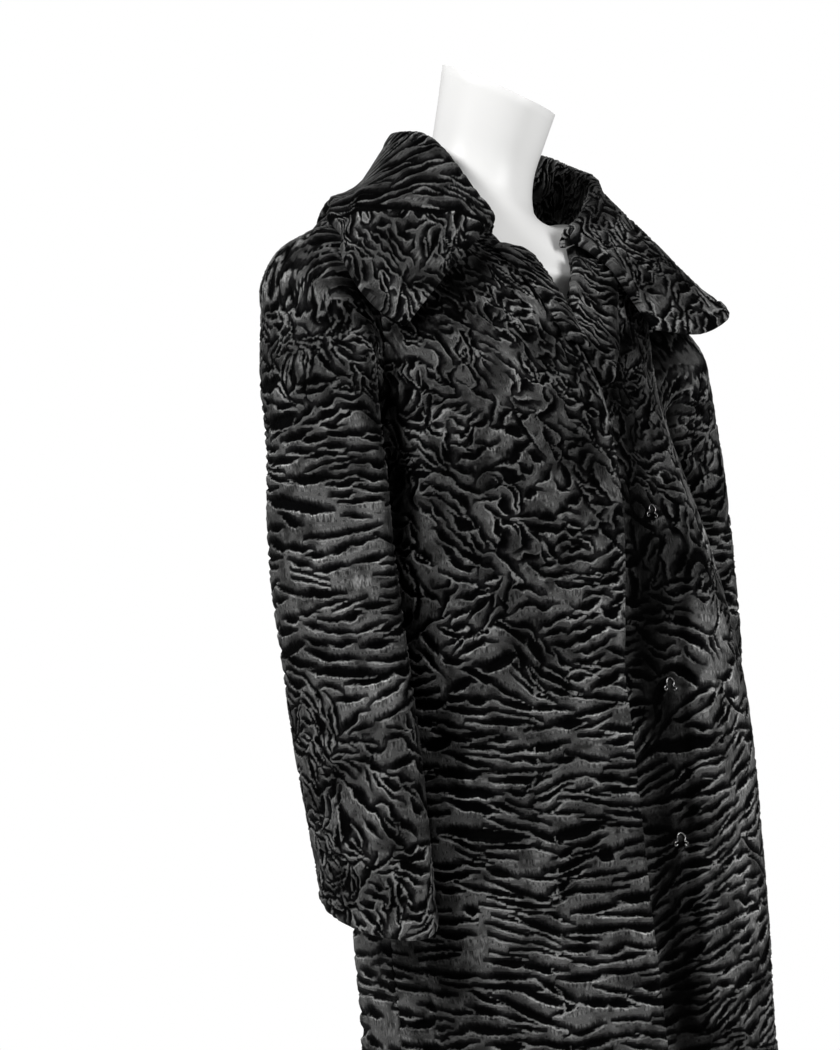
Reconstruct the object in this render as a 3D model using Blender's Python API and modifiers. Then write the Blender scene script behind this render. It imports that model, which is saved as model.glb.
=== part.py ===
"""Broadtail fur coat on a limbless dress form, at real size in metres.

The wearer faces -Y, with the wearer's right at -X. Every fur panel is an open sheet of points
read from one set of rings, given its wall by Solidify. The form inside uses the same rings.
"""

import math

import bmesh
import bpy
from mathutils import Matrix, Vector
from mathutils.bvhtree import BVHTree

COLLECTION = "fur_coat"

# The whole figure is moved by this much, so that its box stands centred on the origin.
CENTRE_X = -0.033
CENTRE_Y = 0.050

WALL = 0.005
COLLAR_WALL = 0.007
SEAM_GAP = 0.0003
REST_GAP = 0.0004

# Rings of the coat's outer surface, hem to neckline. z, x, y: the ring's centre. tilt: degrees
# that it drops towards the wearer's left. right, left: half widths. front, back: depths.
# dip: how far its front hangs below its plane.
RING_COLUMNS = ("z", "x", "y", "tilt", "right", "left", "front", "back", "dip")
RINGS = (
    (0.360, 0.074, -0.050, 1.0, 0.222, 0.232, 0.196, 0.186, 0.000),
    (0.470, 0.069, -0.048, 1.0, 0.210, 0.216, 0.182, 0.172, 0.000),
    (0.590, 0.062, -0.045, 1.0, 0.196, 0.200, 0.169, 0.158, 0.000),
    (0.690, 0.056, -0.042, 1.5, 0.199, 0.198, 0.167, 0.157, 0.000),
    (0.790, 0.050, -0.038, 2.0, 0.197, 0.197, 0.166, 0.155, 0.000),
    (0.890, 0.041, -0.032, 3.0, 0.191, 0.200, 0.165, 0.150, 0.000),
    (0.980, 0.029, -0.023, 5.0, 0.184, 0.202, 0.164, 0.145, 0.000),
    (1.070, 0.014, -0.013, 7.0, 0.173, 0.196, 0.164, 0.140, 0.000),
    (1.145, 0.002, -0.006, 9.0, 0.161, 0.182, 0.163, 0.137, 0.000),
    (1.210, -0.006, 0.000, 10.5, 0.160, 0.168, 0.155, 0.134, 0.000),
    (1.262, -0.009, 0.003, 11.0, 0.166, 0.167, 0.140, 0.129, 0.000),
    (1.300, -0.010, 0.004, 11.0, 0.171, 0.170, 0.122, 0.120, 0.000),
    (1.326, -0.010, 0.004, 11.0, 0.168, 0.168, 0.110, 0.109, 0.004),
    (1.347, -0.010, 0.004, 11.0, 0.146, 0.148, 0.104, 0.100, 0.018),
    (1.366, -0.010, 0.004, 11.0, 0.117, 0.124, 0.101, 0.091, 0.034),
    (1.386, -0.010, 0.004, 11.0, 0.084, 0.102, 0.098, 0.078, 0.048),
)
SQUARENESS = 2.3
ARMPIT_RING = 8
SHOULDER_RING = 12
NECK_RING = len(RINGS) - 1

# Angles round the rings, in degrees from the front centre, positive to the wearer's left.
SIDE_SEAM = 84.0
SHOULDER_SEAM = 90.0
# A narrow column of faces lies along each seam, so that both walls turn in alike there.
SEAM_COLUMN = 1.3
# The left front's columns are drawn towards its strip's line.
CROWD_REACH = 14.0
CROWD_PULL = 0.55

# The armhole's front and back edges, as degrees away from the side on each ring.
ARMHOLE_COLUMNS = ("ring", "front", "back")
ARMHOLE = (
    (8.0, 0.0, 0.0),
    (8.5, 15.0, 14.0),
    (9.5, 22.0, 22.0),
    (10.5, 24.0, 24.0),
    (11.5, 21.0, 22.0),
    (12.0, 0.0, 0.0),
)

# The fronts' free edges: distance from each ring's centre to the wearer's left.
EDGE_COLUMNS = ("ring", "right_front", "left_front")
EDGES = (
    (0.0, 0.010, -0.060),
    (2.0, 0.004, -0.062),
    (4.0, -0.005, -0.066),
    (5.5, -0.003, -0.062),
    (6.0, 0.006, -0.054),
    (7.0, 0.027, -0.034),
    (8.0, 0.037, -0.024),
    (9.0, 0.037, -0.010),
    (9.8, 0.020, 0.012),
    (11.0, 0.000, 0.034),
    (12.0, -0.012, 0.043),
    (13.5, -0.022, 0.052),
    (15.0, -0.030, 0.058),
)

# Long soft folds in the panels, fading in below the ring "from". angle_top, angle_bottom:
# degrees round from the front centre by the wearer's left. A depth below 0 stands out.
FOLD_COLUMNS = ("angle_top", "angle_bottom", "from", "width", "depth")
FOLDS = (
    (289.0, 287.0, 4.4, 0.020, 0.011),
    (320.0, 314.0, 3.2, 0.055, -0.005),
    (66.0, 64.0, 3.4, 0.050, 0.006),
    (96.0, 94.0, 5.0, 0.045, -0.005),
    (150.0, 146.0, 6.0, 0.060, 0.008),
    (180.0, 180.0, 4.0, 0.050, -0.005),
    (208.0, 213.0, 6.5, 0.060, 0.008),
    (250.0, 252.0, 4.6, 0.050, -0.005),
)
FOLD_FOOT = -0.5

# The left front's hollow strip runs from its free edge out to this line, then steps up.
STRIP_COLUMNS = ("ring", "line", "inset", "bulge")
STRIP = (
    (0.0, 0.040, 0.011, 0.000),
    (2.0, 0.044, 0.011, 0.002),
    (3.4, 0.052, 0.013, 0.004),
    (5.4, 0.080, 0.015, 0.004),
    (7.0, 0.104, 0.014, 0.002),
    (8.0, 0.112, 0.012, 0.000),
    (9.5, 0.100, 0.011, 0.000),
    (10.4, 0.092, 0.006, 0.000),
    (12.0, 0.085, 0.000, 0.000),
    (15.0, 0.080, 0.000, 0.000),
)
STRIP_STEP = 0.016

# Sleeve sections from under the sleeve head to the cuff. long: half width fore and aft.
# flat: half width sideways. turn: degrees that its front is turned in towards the body.
# lean: degrees that its outer side is lowered. dip: how far its front is lowered.
SLEEVE_COLUMNS = ("z", "x", "y", "long", "flat", "turn", "lean", "dip")
RIGHT_SLEEVE = (
    (1.262, -0.186, -0.008, 0.071, 0.046, 6.0, 24.0, 0.000),
    (1.205, -0.194, -0.024, 0.070, 0.044, 10.0, 10.0, 0.000),
    (1.149, -0.196, -0.041, 0.069, 0.041, 14.0, 4.0, 0.000),
    (1.048, -0.201, -0.064, 0.074, 0.041, 15.0, -2.0, 0.000),
    (0.938, -0.193, -0.081, 0.073, 0.040, 16.0, -4.0, 0.000),
    (0.876, -0.188, -0.090, 0.072, 0.040, 17.0, -4.0, 0.004),
    (0.806, -0.181, -0.098, 0.068, 0.039, 18.0, -8.0, 0.012),
    (0.731, -0.173, -0.104, 0.065, 0.035, 18.0, -16.0, 0.020),
)
LEFT_SLEEVE = (
    (1.205, 0.190, 0.006, 0.072, 0.044, 4.0, -26.0, 0.000),
    (1.150, 0.207, 0.016, 0.072, 0.043, 0.0, -14.0, 0.000),
    (1.095, 0.221, 0.028, 0.071, 0.042, -8.0, -8.0, 0.000),
    (1.000, 0.240, 0.046, 0.071, 0.041, -16.0, -6.0, 0.000),
    (0.890, 0.252, 0.056, 0.070, 0.040, -22.0, -4.0, 0.000),
    (0.820, 0.256, 0.058, 0.068, 0.040, -24.0, -2.0, 0.002),
    (0.742, 0.258, 0.052, 0.066, 0.039, -24.0, 0.0, 0.006),
    (0.660, 0.260, 0.044, 0.065, 0.036, -24.0, 0.0, 0.012),
)
SLEEVE_STEPS = 13
# The sleeve head between the armhole and the first section: share of the way, swell outwards.
HEAD_STEPS = ((0.12, 0.010), (0.35, 0.020), (0.68, 0.016))
ARMHOLE_GAP = 0.001
BODY_CLEAR = 0.005

# The collar, from the right gorge round the back to the left one. angle: place on the neckline.
# roll: height of the fold. x, y, z: the outer edge, from the neckline ring's centre.
COLLAR_COLUMNS = ("angle", "roll", "x", "y", "z")
COLLAR = (
    (-20.0, 0.008, -0.112, -0.112, -0.146),
    (-34.0, 0.018, -0.139, -0.108, -0.136),
    (-50.0, 0.028, -0.160, -0.090, -0.112),
    (-70.0, 0.036, -0.164, -0.056, -0.080),
    (-98.0, 0.040, -0.134, 0.008, -0.050),
    (-130.0, 0.046, -0.104, 0.086, -0.058),
    (-180.0, 0.054, 0.000, 0.142, -0.078),
    (-230.0, 0.064, 0.124, 0.092, -0.052),
    (-262.0, 0.052, 0.184, 0.016, -0.052),
    (-288.0, 0.038, 0.222, -0.052, -0.044),
    (-308.0, 0.027, 0.236, -0.094, -0.057),
    (-322.0, 0.018, 0.200, -0.112, -0.084),
    (-334.0, 0.010, 0.144, -0.122, -0.094),
)
COLLAR_STAND_IN = 0.006
COLLAR_FOLD = 0.018
COLLAR_ROWS = 34
COLLAR_FALL_STEPS = 7
COLLAR_CLEAR = 0.003

# Lapels, from their lower end to the gorge. ring: height. inner: distance of the roll line from
# the ring's centre. width: how far the turned strip reaches back over the front.
LAPEL_COLUMNS = ("ring", "inner", "width")
RIGHT_LAPEL = (
    (9.75, 0.020, 0.012),
    (10.6, 0.007, 0.016),
    (11.6, -0.007, 0.026),
    (12.3, -0.0155, 0.036),
)
LEFT_LAPEL = (
    (9.2, 0.045, 0.014),
    (9.8, 0.034, 0.042),
    (10.5, 0.030, 0.052),
    (11.2, 0.036, 0.050),
    (12.2, 0.044, 0.044),
    (13.2, 0.050, 0.036),
)
LAPEL_WALL = 0.006
LAPEL_LIFT = 0.0038
LAPEL_SEAT = 0.0008
LAPEL_CLEAR = 0.0035
LAPEL_START = 0.002
LAPEL_STEPS = 5
LAPEL_ROWS = 13
# Each lapel's turned edge: distance before the roll line, height over the panel. The right one
# turns round the front's free edge, the left one lies on its panel.
LAPEL_WRAP_ROUND = ((0.0100, -0.002), (0.0100, 0.004))
LAPEL_WRAP_FLAT = ((0.004, 0.0095), (0.001, 0.010))

# Wire eyes on the left front and their hooks under the right front's edge.
EYE_RINGS = (7.45, 5.54, 4.05)
EYE_OFFSETS = (0.085, 0.062, 0.048)
WIRE = 0.0008
EYE_LOOP = 0.0045
HOOK_LENGTH = 0.012

# The dress form: rings as for the coat, from its flat bottom to the slanted neck cap.
FORM_COLUMNS = ("z", "x", "y", "tilt", "right", "left", "front", "back")
FORM_RINGS = (
    (0.800, 0.048, -0.036, 0.0, 0.160, 0.160, 0.112, 0.118),
    (0.850, 0.044, -0.034, 1.0, 0.166, 0.168, 0.118, 0.122),
    (0.920, 0.036, -0.028, 3.0, 0.156, 0.160, 0.112, 0.112),
    (1.000, 0.025, -0.020, 5.0, 0.128, 0.132, 0.100, 0.096),
    (1.060, 0.015, -0.013, 7.0, 0.118, 0.122, 0.098, 0.090),
    (1.120, 0.005, -0.008, 9.0, 0.126, 0.130, 0.112, 0.098),
    (1.180, -0.002, -0.002, 10.0, 0.138, 0.142, 0.126, 0.108),
    (1.240, -0.008, 0.002, 11.0, 0.146, 0.150, 0.118, 0.110),
    (1.290, -0.010, 0.004, 11.0, 0.152, 0.154, 0.096, 0.100),
)
# On the shoulders it follows the coat, this far under its outer surface.
FORM_TOP_RINGS = (12.2, 12.8, 13.4, 13.9, 14.4)
FORM_INSET = 0.0069
FORM_NECK_INSET = 0.010
NECK_COLUMNS = ("along", "radius")
NECK = (
    (0.004, 0.066),
    (0.020, 0.055),
    (0.050, 0.0495),
    (0.085, 0.0505),
    (0.122, 0.0535),
)
NECK_SHIFT = -0.010
NECK_LEAN_LEFT = 11.0
NECK_LEAN_FORWARD = 7.0
CAP_SLANT_LEFT = 20.0
CAP_SLANT_FORWARD = 15.0
FORM_SIDES = 28

POLE_RADIUS = 0.014
BASE_RADIUS = 0.175
BASE_HEIGHT = 0.012
POLE_X = 0.048
POLE_Y = -0.036

BLACK_FUR = ((0.012, 0.012, 0.013), 0.75, 0.0)
WHITE_GLOSS = ((0.86, 0.86, 0.86), 0.25, 0.0)
BLACK_WIRE = ((0.03, 0.03, 0.03), 0.3, 0.9)
STEEL = ((0.55, 0.55, 0.56), 0.3, 1.0)


def table(columns, rows):
    """Rows of numbers as a list of dictionaries."""
    return [dict(zip(columns, row)) for row in rows]


RING_TABLE = table(RING_COLUMNS, RINGS)
ARMHOLE_TABLE = table(ARMHOLE_COLUMNS, ARMHOLE)
EDGE_TABLE = table(EDGE_COLUMNS, EDGES)
FOLD_TABLE = table(FOLD_COLUMNS, FOLDS)
STRIP_TABLE = table(STRIP_COLUMNS, STRIP)
FORM_TABLE = table(FORM_COLUMNS, FORM_RINGS)


def smooth(t):
    """A soft step from 0 to 1."""
    t = min(max(t, 0.0), 1.0)
    return t * t * (3.0 - 2.0 * t)


def mix(a, b, t):
    return a + (b - a) * t


def spline(values, at):
    """A curve through evenly numbered values, read at a place between them."""
    last = len(values) - 1
    at = min(max(at, 0.0), float(last))
    i = min(int(at), last - 1)
    t = at - i
    b = values[i]
    c = values[i + 1]
    a = values[i - 1] if i > 0 else 2.0 * b - c
    d = values[i + 2] if i + 2 <= last else 2.0 * c - b
    slope_b = (c - a) / 2.0
    slope_c = (d - b) / 2.0
    t2 = t * t
    t3 = t2 * t
    return (
        (2 * t3 - 3 * t2 + 1) * b
        + (t3 - 2 * t2 + t) * slope_b
        + (3 * t2 - 2 * t3) * c
        + (t3 - t2) * slope_c
    )


def read(rows, key, value, column):
    """A column of a table, softly read at a place in its key column."""
    keys = [row[key] for row in rows]
    if value <= keys[0]:
        return rows[0][column]
    if value >= keys[-1]:
        return rows[-1][column]
    i = 0
    while keys[i + 1] < value:
        i += 1
    place = i + (value - keys[i]) / (keys[i + 1] - keys[i])
    return spline([row[column] for row in rows], place)


def ring_at(rows, place):
    """The ring at a place between the table's rings."""
    return {name: spline([row[name] for row in rows], place) for name in rows[0]}


def ring_point(ring, degrees, out=0.0):
    """A point on a ring, moved out from its surface by a distance."""
    angle = math.radians(degrees)
    sine = math.sin(angle)
    cosine = math.cos(angle)
    width = ring["left"] if sine > 0 else ring["right"]
    depth = ring["front"] if cosine > 0 else ring["back"]
    power = 2.0 / SQUARENESS
    x = math.copysign(abs(sine) ** power, sine) * (width + out)
    y = -math.copysign(abs(cosine) ** power, cosine) * (depth + out)
    z = -ring.get("dip", 0.0) * max(cosine, 0.0) ** 2
    tilt = math.radians(ring["tilt"])
    return Vector(
        (
            ring["x"] + x * math.cos(tilt) + z * math.sin(tilt),
            ring["y"] + y,
            ring["z"] - x * math.sin(tilt) + z * math.cos(tilt),
        )
    )


def angle_of(ring, offset):
    """The angle on a ring's front whose point lies this far to the wearer's left."""
    width = ring["left"] if offset > 0 else ring["right"]
    share = min(abs(offset) / width, 1.0)
    return math.copysign(math.degrees(math.asin(share ** (SQUARENESS / 2.0))), offset)


def fold_depth(ring, place, degrees):
    """How far the folds draw the surface in at one point."""
    total = 0.0
    for fold in FOLD_TABLE:
        down = (fold["from"] - place) / (fold["from"] - FOLD_FOOT)
        if down <= 0.0:
            continue
        middle = mix(fold["angle_top"], fold["angle_bottom"], down)
        away = (degrees - middle + 180.0) % 360.0 - 180.0
        reach = (ring["left"] + ring["front"]) / 2.0
        aside = math.radians(away) * reach / fold["width"]
        total += fold["depth"] * smooth(down * 2.0) * math.exp(-aside * aside * 2.0)
    return total


def coat_point(place, degrees):
    """A point on the coat's full form: the right front and the back."""
    ring = ring_at(RING_TABLE, place)
    return ring_point(ring, degrees, -fold_depth(ring, place, degrees))


def left_front_point(place, degrees):
    """The left front: a hollow strip under the overlap, then a step up to the full form."""
    ring = ring_at(RING_TABLE, place)
    line = read(STRIP_TABLE, "ring", place, "line")
    inset = read(STRIP_TABLE, "ring", place, "inset")
    bulge = read(STRIP_TABLE, "ring", place, "bulge")
    across = abs(math.sin(math.radians(degrees))) ** (2.0 / SQUARENESS)
    offset = math.copysign(across * ring["left"], degrees)
    step = smooth((offset - line + STRIP_STEP / 2.0) / STRIP_STEP)
    side = smooth((offset - line) / 0.06)
    out = mix(-inset, bulge * (1.0 - side), step)
    return ring_point(ring, degrees, out - fold_depth(ring, place, degrees))


def panel_rows():
    """Places on the rings where the panels' rows lie, closer where the shoulders turn."""
    places = [0.0, 0.7, 1.4, 2.1, 2.8, 3.4, 4.0, 4.6, 5.2, 5.8, 6.4, 7.0, 7.5, 8.0]
    places += [8.25, 8.5, 9.0, 9.5, 10.0, 10.5, 11.0, 11.4, 11.7, 11.9]
    places += [12.0, 12.6, 13.2, 13.8, 14.4, 15.0]
    return places


def side_angle(place, which):
    """Degrees from the front centre to a panel's side edge: seam, armhole or shoulder."""
    if place <= ARMPIT_RING:
        return SIDE_SEAM
    if place >= SHOULDER_RING:
        return SHOULDER_SEAM
    share = (place - ARMPIT_RING) / (SHOULDER_RING - ARMPIT_RING)
    middle = mix(SIDE_SEAM, SHOULDER_SEAM, share)
    away = read(ARMHOLE_TABLE, "ring", place, which)
    return middle - away if which == "front" else middle + away


def seam_angle(ring):
    """The angle that half a seam's gap takes at a ring's side."""
    return math.degrees(SEAM_GAP / (ring["left"] + ring["back"]) * 2.2)


def spread(start, end, count, crowd=None):
    """Evenly spaced angles, drawn towards one of them where crowd gives it."""
    values = [mix(start, end, i / (count - 1)) for i in range(count)]
    if crowd is None:
        return values
    drawn = []
    for value in values:
        near = math.exp(-(((value - crowd) / CROWD_REACH) ** 2))
        drawn.append(value + (crowd - value) * CROWD_PULL * near)
    return drawn


def front_right_grid():
    grid = []
    for place in panel_rows():
        ring = ring_at(RING_TABLE, place)
        start = -side_angle(place, "front") + seam_angle(ring)
        end = angle_of(ring, read(EDGE_TABLE, "ring", place, "right_front"))
        angles = [start] + spread(start + SEAM_COLUMN, end, 14)
        grid.append([coat_point(place, angle) for angle in angles])
    return grid


def front_left_grid():
    grid = []
    for place in panel_rows():
        ring = ring_at(RING_TABLE, place)
        start = angle_of(ring, read(EDGE_TABLE, "ring", place, "left_front"))
        end = side_angle(place, "front") - seam_angle(ring)
        line = angle_of(ring, read(STRIP_TABLE, "ring", place, "line"))
        angles = spread(start, end - SEAM_COLUMN, 18, line) + [end]
        grid.append([left_front_point(place, angle) for angle in angles])
    return grid


def back_grid():
    grid = []
    for place in panel_rows():
        ring = ring_at(RING_TABLE, place)
        start = side_angle(place, "back") + seam_angle(ring)
        end = 360.0 - start
        angles = [start] + spread(start + SEAM_COLUMN, end - SEAM_COLUMN, 20) + [end]
        grid.append([coat_point(place, angle) for angle in angles])
    return grid


def armhole_loop(side, panels):
    """The armhole's edge, point for point as on the panels, with the panel's outward direction
    at each: from the armpit up the front and down the back."""
    right, left, back = panels
    front = left if side > 0 else right
    places = panel_rows()
    rows = [i for i, place in enumerate(places) if ARMPIT_RING <= place <= SHOULDER_RING]
    halves = []
    for panel, last in ((front, side > 0), (back, side < 0)):
        columns = len(panel.data.vertices) // len(places)
        found = [panel.data.vertices[row * columns + (columns - 1 if last else 0)] for row in rows]
        halves.append([(vertex.co.copy(), vertex.normal.copy()) for vertex in found])
    ahead, behind = halves
    for end in (0, -1):
        spot = (ahead[end][0] + behind[end][0]) / 2.0
        ahead[end] = (spot, (ahead[end][1] + behind[end][1]).normalized())
    return ahead + behind[-2:0:-1]


def shares_round(points):
    """How far round a closed loop each of its points lies, from 0 to 1."""
    steps = [(b - a).length for a, b in zip(points, points[1:] + points[:1])]
    whole = sum(steps)
    shares = [0.0]
    for step in steps[:-1]:
        shares.append(shares[-1] + step / whole)
    return shares


def sleeve_section(row, side, shares):
    """One oval section of a sleeve, from its inner side round by the front."""
    turn = math.radians(row["turn"])
    lean = math.radians(row["lean"])
    points = []
    for share in shares:
        angle = 2.0 * math.pi * share
        inward = math.cos(angle) * row["flat"]
        ahead = math.sin(angle) * row["long"]
        x = -side * (inward * math.cos(turn) + ahead * math.sin(turn))
        y = inward * math.sin(turn) - ahead * math.cos(turn)
        z = -x * math.sin(lean) - row["dip"] * math.sin(angle)
        points.append(Vector((row["x"] + x, row["y"] + y, row["z"] + z)))
    return points


def sleeve_grid(rows, side, panels):
    """A sleeve's rings: its seam inside the armhole, the rounded head, then its sections."""
    rows = table(SLEEVE_COLUMNS, rows)
    trees = [tree_of(panel) for panel in panels]
    loop = armhole_loop(side, panels)
    middle = sum((spot for spot, _ in loop), Vector()) / len(loop)
    seam = []
    mouth = []
    for spot, normal in loop:
        inward = middle - spot
        inward = (inward - normal * inward.dot(normal)).normalized()
        start = spot + inward * ARMHOLE_GAP
        seam.append(start - normal * WALL)
        mouth.append(start + normal * REST_GAP)
    shares = shares_round(mouth)
    first = sleeve_section(rows[0], side, shares)
    grid = [seam, mouth]
    aside = Vector((side, 0.0, 0.0))
    for share, swell in HEAD_STEPS:
        ring = []
        for a, b in zip(mouth, first):
            high = smooth((a.z - middle.z) / 0.10 + 0.5)
            ring.append(a.lerp(b, share) + aside * swell * high + Vector((0.0, 0.0, swell * high * 0.3)))
        grid.append(ring)
    for i in range(SLEEVE_STEPS + 1):
        place = (len(rows) - 1) * i / SLEEVE_STEPS
        grid.append(sleeve_section(ring_at(rows, place), side, shares))
    for ring in grid[2:]:
        for i, point in enumerate(ring):
            ring[i] = clear_of(point, trees, BODY_CLEAR)
    return grid


def collar_grid(trees):
    """The collar: up its stand, over the fold, and down its fall to the outer edge."""
    rows = table(COLLAR_COLUMNS, COLLAR)
    neck = ring_at(RING_TABLE, NECK_RING)
    tilt = Matrix.Rotation(math.radians(neck["tilt"]), 3, "Y")
    centre = Vector((neck["x"], neck["y"], neck["z"]))
    grid = []
    for i in range(COLLAR_ROWS + 1):
        place = (len(rows) - 1) * i / COLLAR_ROWS
        row = {name: spline([r[name] for r in rows], place) for name in COLLAR_COLUMNS}
        up = tilt @ Vector((0.0, 0.0, 1.0))
        seam = ring_point(neck, row["angle"] + 360.0, -COLLAR_STAND_IN)
        rim = ring_point(neck, row["angle"] + 360.0)
        away = (rim - seam).normalized()
        seam = seam + up * REST_GAP * 2.0
        half = COLLAR_FOLD / 2.0
        top = seam + up * row["roll"] + away * half
        line = [seam, seam.lerp(seam + up * row["roll"], 0.5)]
        for k in range(4):
            turn = math.pi * k / 3.0
            line.append(top - away * half * math.cos(turn) + up * half * math.sin(turn))
        edge = centre + tilt @ Vector((row["x"], row["y"], row["z"]))
        start = line[-1]
        for k in range(1, COLLAR_FALL_STEPS + 1):
            share = k / COLLAR_FALL_STEPS
            point = start.lerp(edge, share)
            point += up * 0.012 * math.sin(math.pi * share) * (1.0 - share)
            line.append(clear_of(point, trees, COLLAR_WALL + COLLAR_CLEAR))
        grid.append(line)
    return relaxed(grid, 6, trees, COLLAR_WALL + COLLAR_CLEAR, 5)


def lapel_grid(rows, side, front, tree, wrap):
    """A lapel: its turned edge, then back over the panel."""
    rows = table(LAPEL_COLUMNS, rows)
    grid = []
    for i in range(LAPEL_ROWS):
        place = mix(rows[0]["ring"], rows[-1]["ring"], i / (LAPEL_ROWS - 1.0))
        ring = ring_at(RING_TABLE, place)
        inner = read(rows, "ring", place, "inner")
        width = read(rows, "ring", place, "width")
        stations = [(inner - side * aside, out) for aside, out in wrap]
        for k in range(LAPEL_STEPS + 1):
            aside = LAPEL_START + width * k / LAPEL_STEPS
            lift = LAPEL_LIFT if k < LAPEL_STEPS else LAPEL_SEAT
            stations.append((inner + side * aside, LAPEL_WALL + lift))
        line = []
        for offset, out in stations:
            angle = angle_of(ring, offset)
            line.append(surface_frame(front, place, angle, out).translation)
        grid.append(line)
    return relaxed(grid, len(wrap), [tree], LAPEL_WALL + LAPEL_CLEAR, 2)


def relaxed(grid, first, trees, gap, rounds):
    """Evens out a sheet from one column on, and keeps it clear of the surfaces under it."""
    for _ in range(rounds):
        before = [list(line) for line in grid]
        for i, line in enumerate(before):
            above = before[max(i - 1, 0)]
            below = before[min(i + 1, len(before) - 1)]
            for k in range(first, len(line) - 1):
                if i in (0, len(before) - 1):
                    middle = (line[k - 1] + line[k + 1]) / 2.0
                else:
                    middle = (above[k] + below[k] + line[k - 1] + line[k + 1]) / 4.0
                grid[i][k] = clear_of(line[k].lerp(middle, 0.5), trees, gap)
    return grid


def clear_of(point, trees, gap):
    """The point, pushed out where it lies nearer than the gap to a surface."""
    for _ in range(2):
        for tree in trees:
            spot, normal, _, _ = tree.find_nearest(point)
            above = (point - spot).dot(normal)
            if above < gap and (point - spot).length < 0.05:
                point = point + normal * (gap - above)
    return point


def sheet(name, grid, closed_rows=False):
    """A mesh object of one sheet of quads, its faces to the outside."""
    mesh = bmesh.new()
    rows = [[mesh.verts.new(point) for point in line] for line in grid]
    for low, high in zip(rows, rows[1:]):
        count = len(low)
        for i in range(count if closed_rows else count - 1):
            j = (i + 1) % count
            mesh.faces.new((low[i], low[j], high[j], high[i]))
    return finish_mesh(name, mesh)


def finish_mesh(name, mesh):
    data = bpy.data.meshes.new(name)
    mesh.to_mesh(data)
    mesh.free()
    item = bpy.data.objects.new(name, data)
    bpy.data.collections[COLLECTION].objects.link(item)
    return item


def flip(item):
    """Turns a sheet's faces over."""
    mesh = bmesh.new()
    mesh.from_mesh(item.data)
    bmesh.ops.reverse_faces(mesh, faces=mesh.faces[:])
    mesh.to_mesh(item.data)
    mesh.free()


def add_wall(item, thickness):
    """Gives a sheet its wall, on its inner side."""
    wall = item.modifiers.new("wall", "SOLIDIFY")
    wall.thickness = thickness
    wall.offset = -1.0
    wall.use_even_offset = False
    wall.use_rim = True


def tree_of(item):
    return BVHTree.FromPolygons(
        [vertex.co for vertex in item.data.vertices],
        [polygon.vertices[:] for polygon in item.data.polygons],
    )


def finish_material(name, finish):
    """A plain material of one colour, roughness and metal share."""
    colour, roughness, metal = finish
    material = bpy.data.materials.get(name) or bpy.data.materials.new(name)
    material.use_nodes = True
    shader = material.node_tree.nodes["Principled BSDF"]
    shader.inputs["Base Color"].default_value = (*colour, 1.0)
    shader.inputs["Roughness"].default_value = roughness
    shader.inputs["Metallic"].default_value = metal
    return material


def paint(item, name, finish):
    item.data.materials.append(finish_material(name, finish))
    item.data.shade_smooth()


def loft(name, rings):
    """A closed solid through rings of points, with flat ends."""
    mesh = bmesh.new()
    rows = [[mesh.verts.new(point) for point in ring] for ring in rings]
    count = len(rings[0])
    for low, high in zip(rows, rows[1:]):
        for i in range(count):
            j = (i + 1) % count
            mesh.faces.new((low[i], low[j], high[j], high[i]))
    mesh.faces.new(rows[0][::-1])
    mesh.faces.new(rows[-1])
    return finish_mesh(name, mesh)


def build_panels():
    right = sheet("front_right", front_right_grid())
    left = sheet("front_left", front_left_grid())
    back = sheet("back", back_grid())
    for item in (right, left, back):
        add_wall(item, WALL)
        paint(item, "fur", BLACK_FUR)
    return right, left, back


def build_sleeves(panels):
    sleeves = []
    for name, rows, side in (
        ("sleeve_right", RIGHT_SLEEVE, -1.0),
        ("sleeve_left", LEFT_SLEEVE, 1.0),
    ):
        item = sheet(name, sleeve_grid(rows, side, panels), closed_rows=True)
        if side > 0:
            flip(item)
        add_wall(item, WALL)
        paint(item, "fur", BLACK_FUR)
        sleeves.append(item)
    return sleeves


def build_lapels(right, left):
    lapels = []
    for name, rows, side, front, panel, wrap in (
        ("lapel_right", RIGHT_LAPEL, -1.0, coat_point, right, LAPEL_WRAP_ROUND),
        ("lapel_left", LEFT_LAPEL, 1.0, left_front_point, left, LAPEL_WRAP_FLAT),
    ):
        item = sheet(name, lapel_grid(rows, side, front, tree_of(panel), wrap))
        if side < 0:
            flip(item)
        add_wall(item, LAPEL_WALL)
        paint(item, "fur", BLACK_FUR)
        lapels.append(item)
    return lapels


def build_collar(below):
    item = sheet("collar", collar_grid([tree_of(piece) for piece in below]))
    flip(item)
    add_wall(item, COLLAR_WALL)
    paint(item, "fur", BLACK_FUR)


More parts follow.
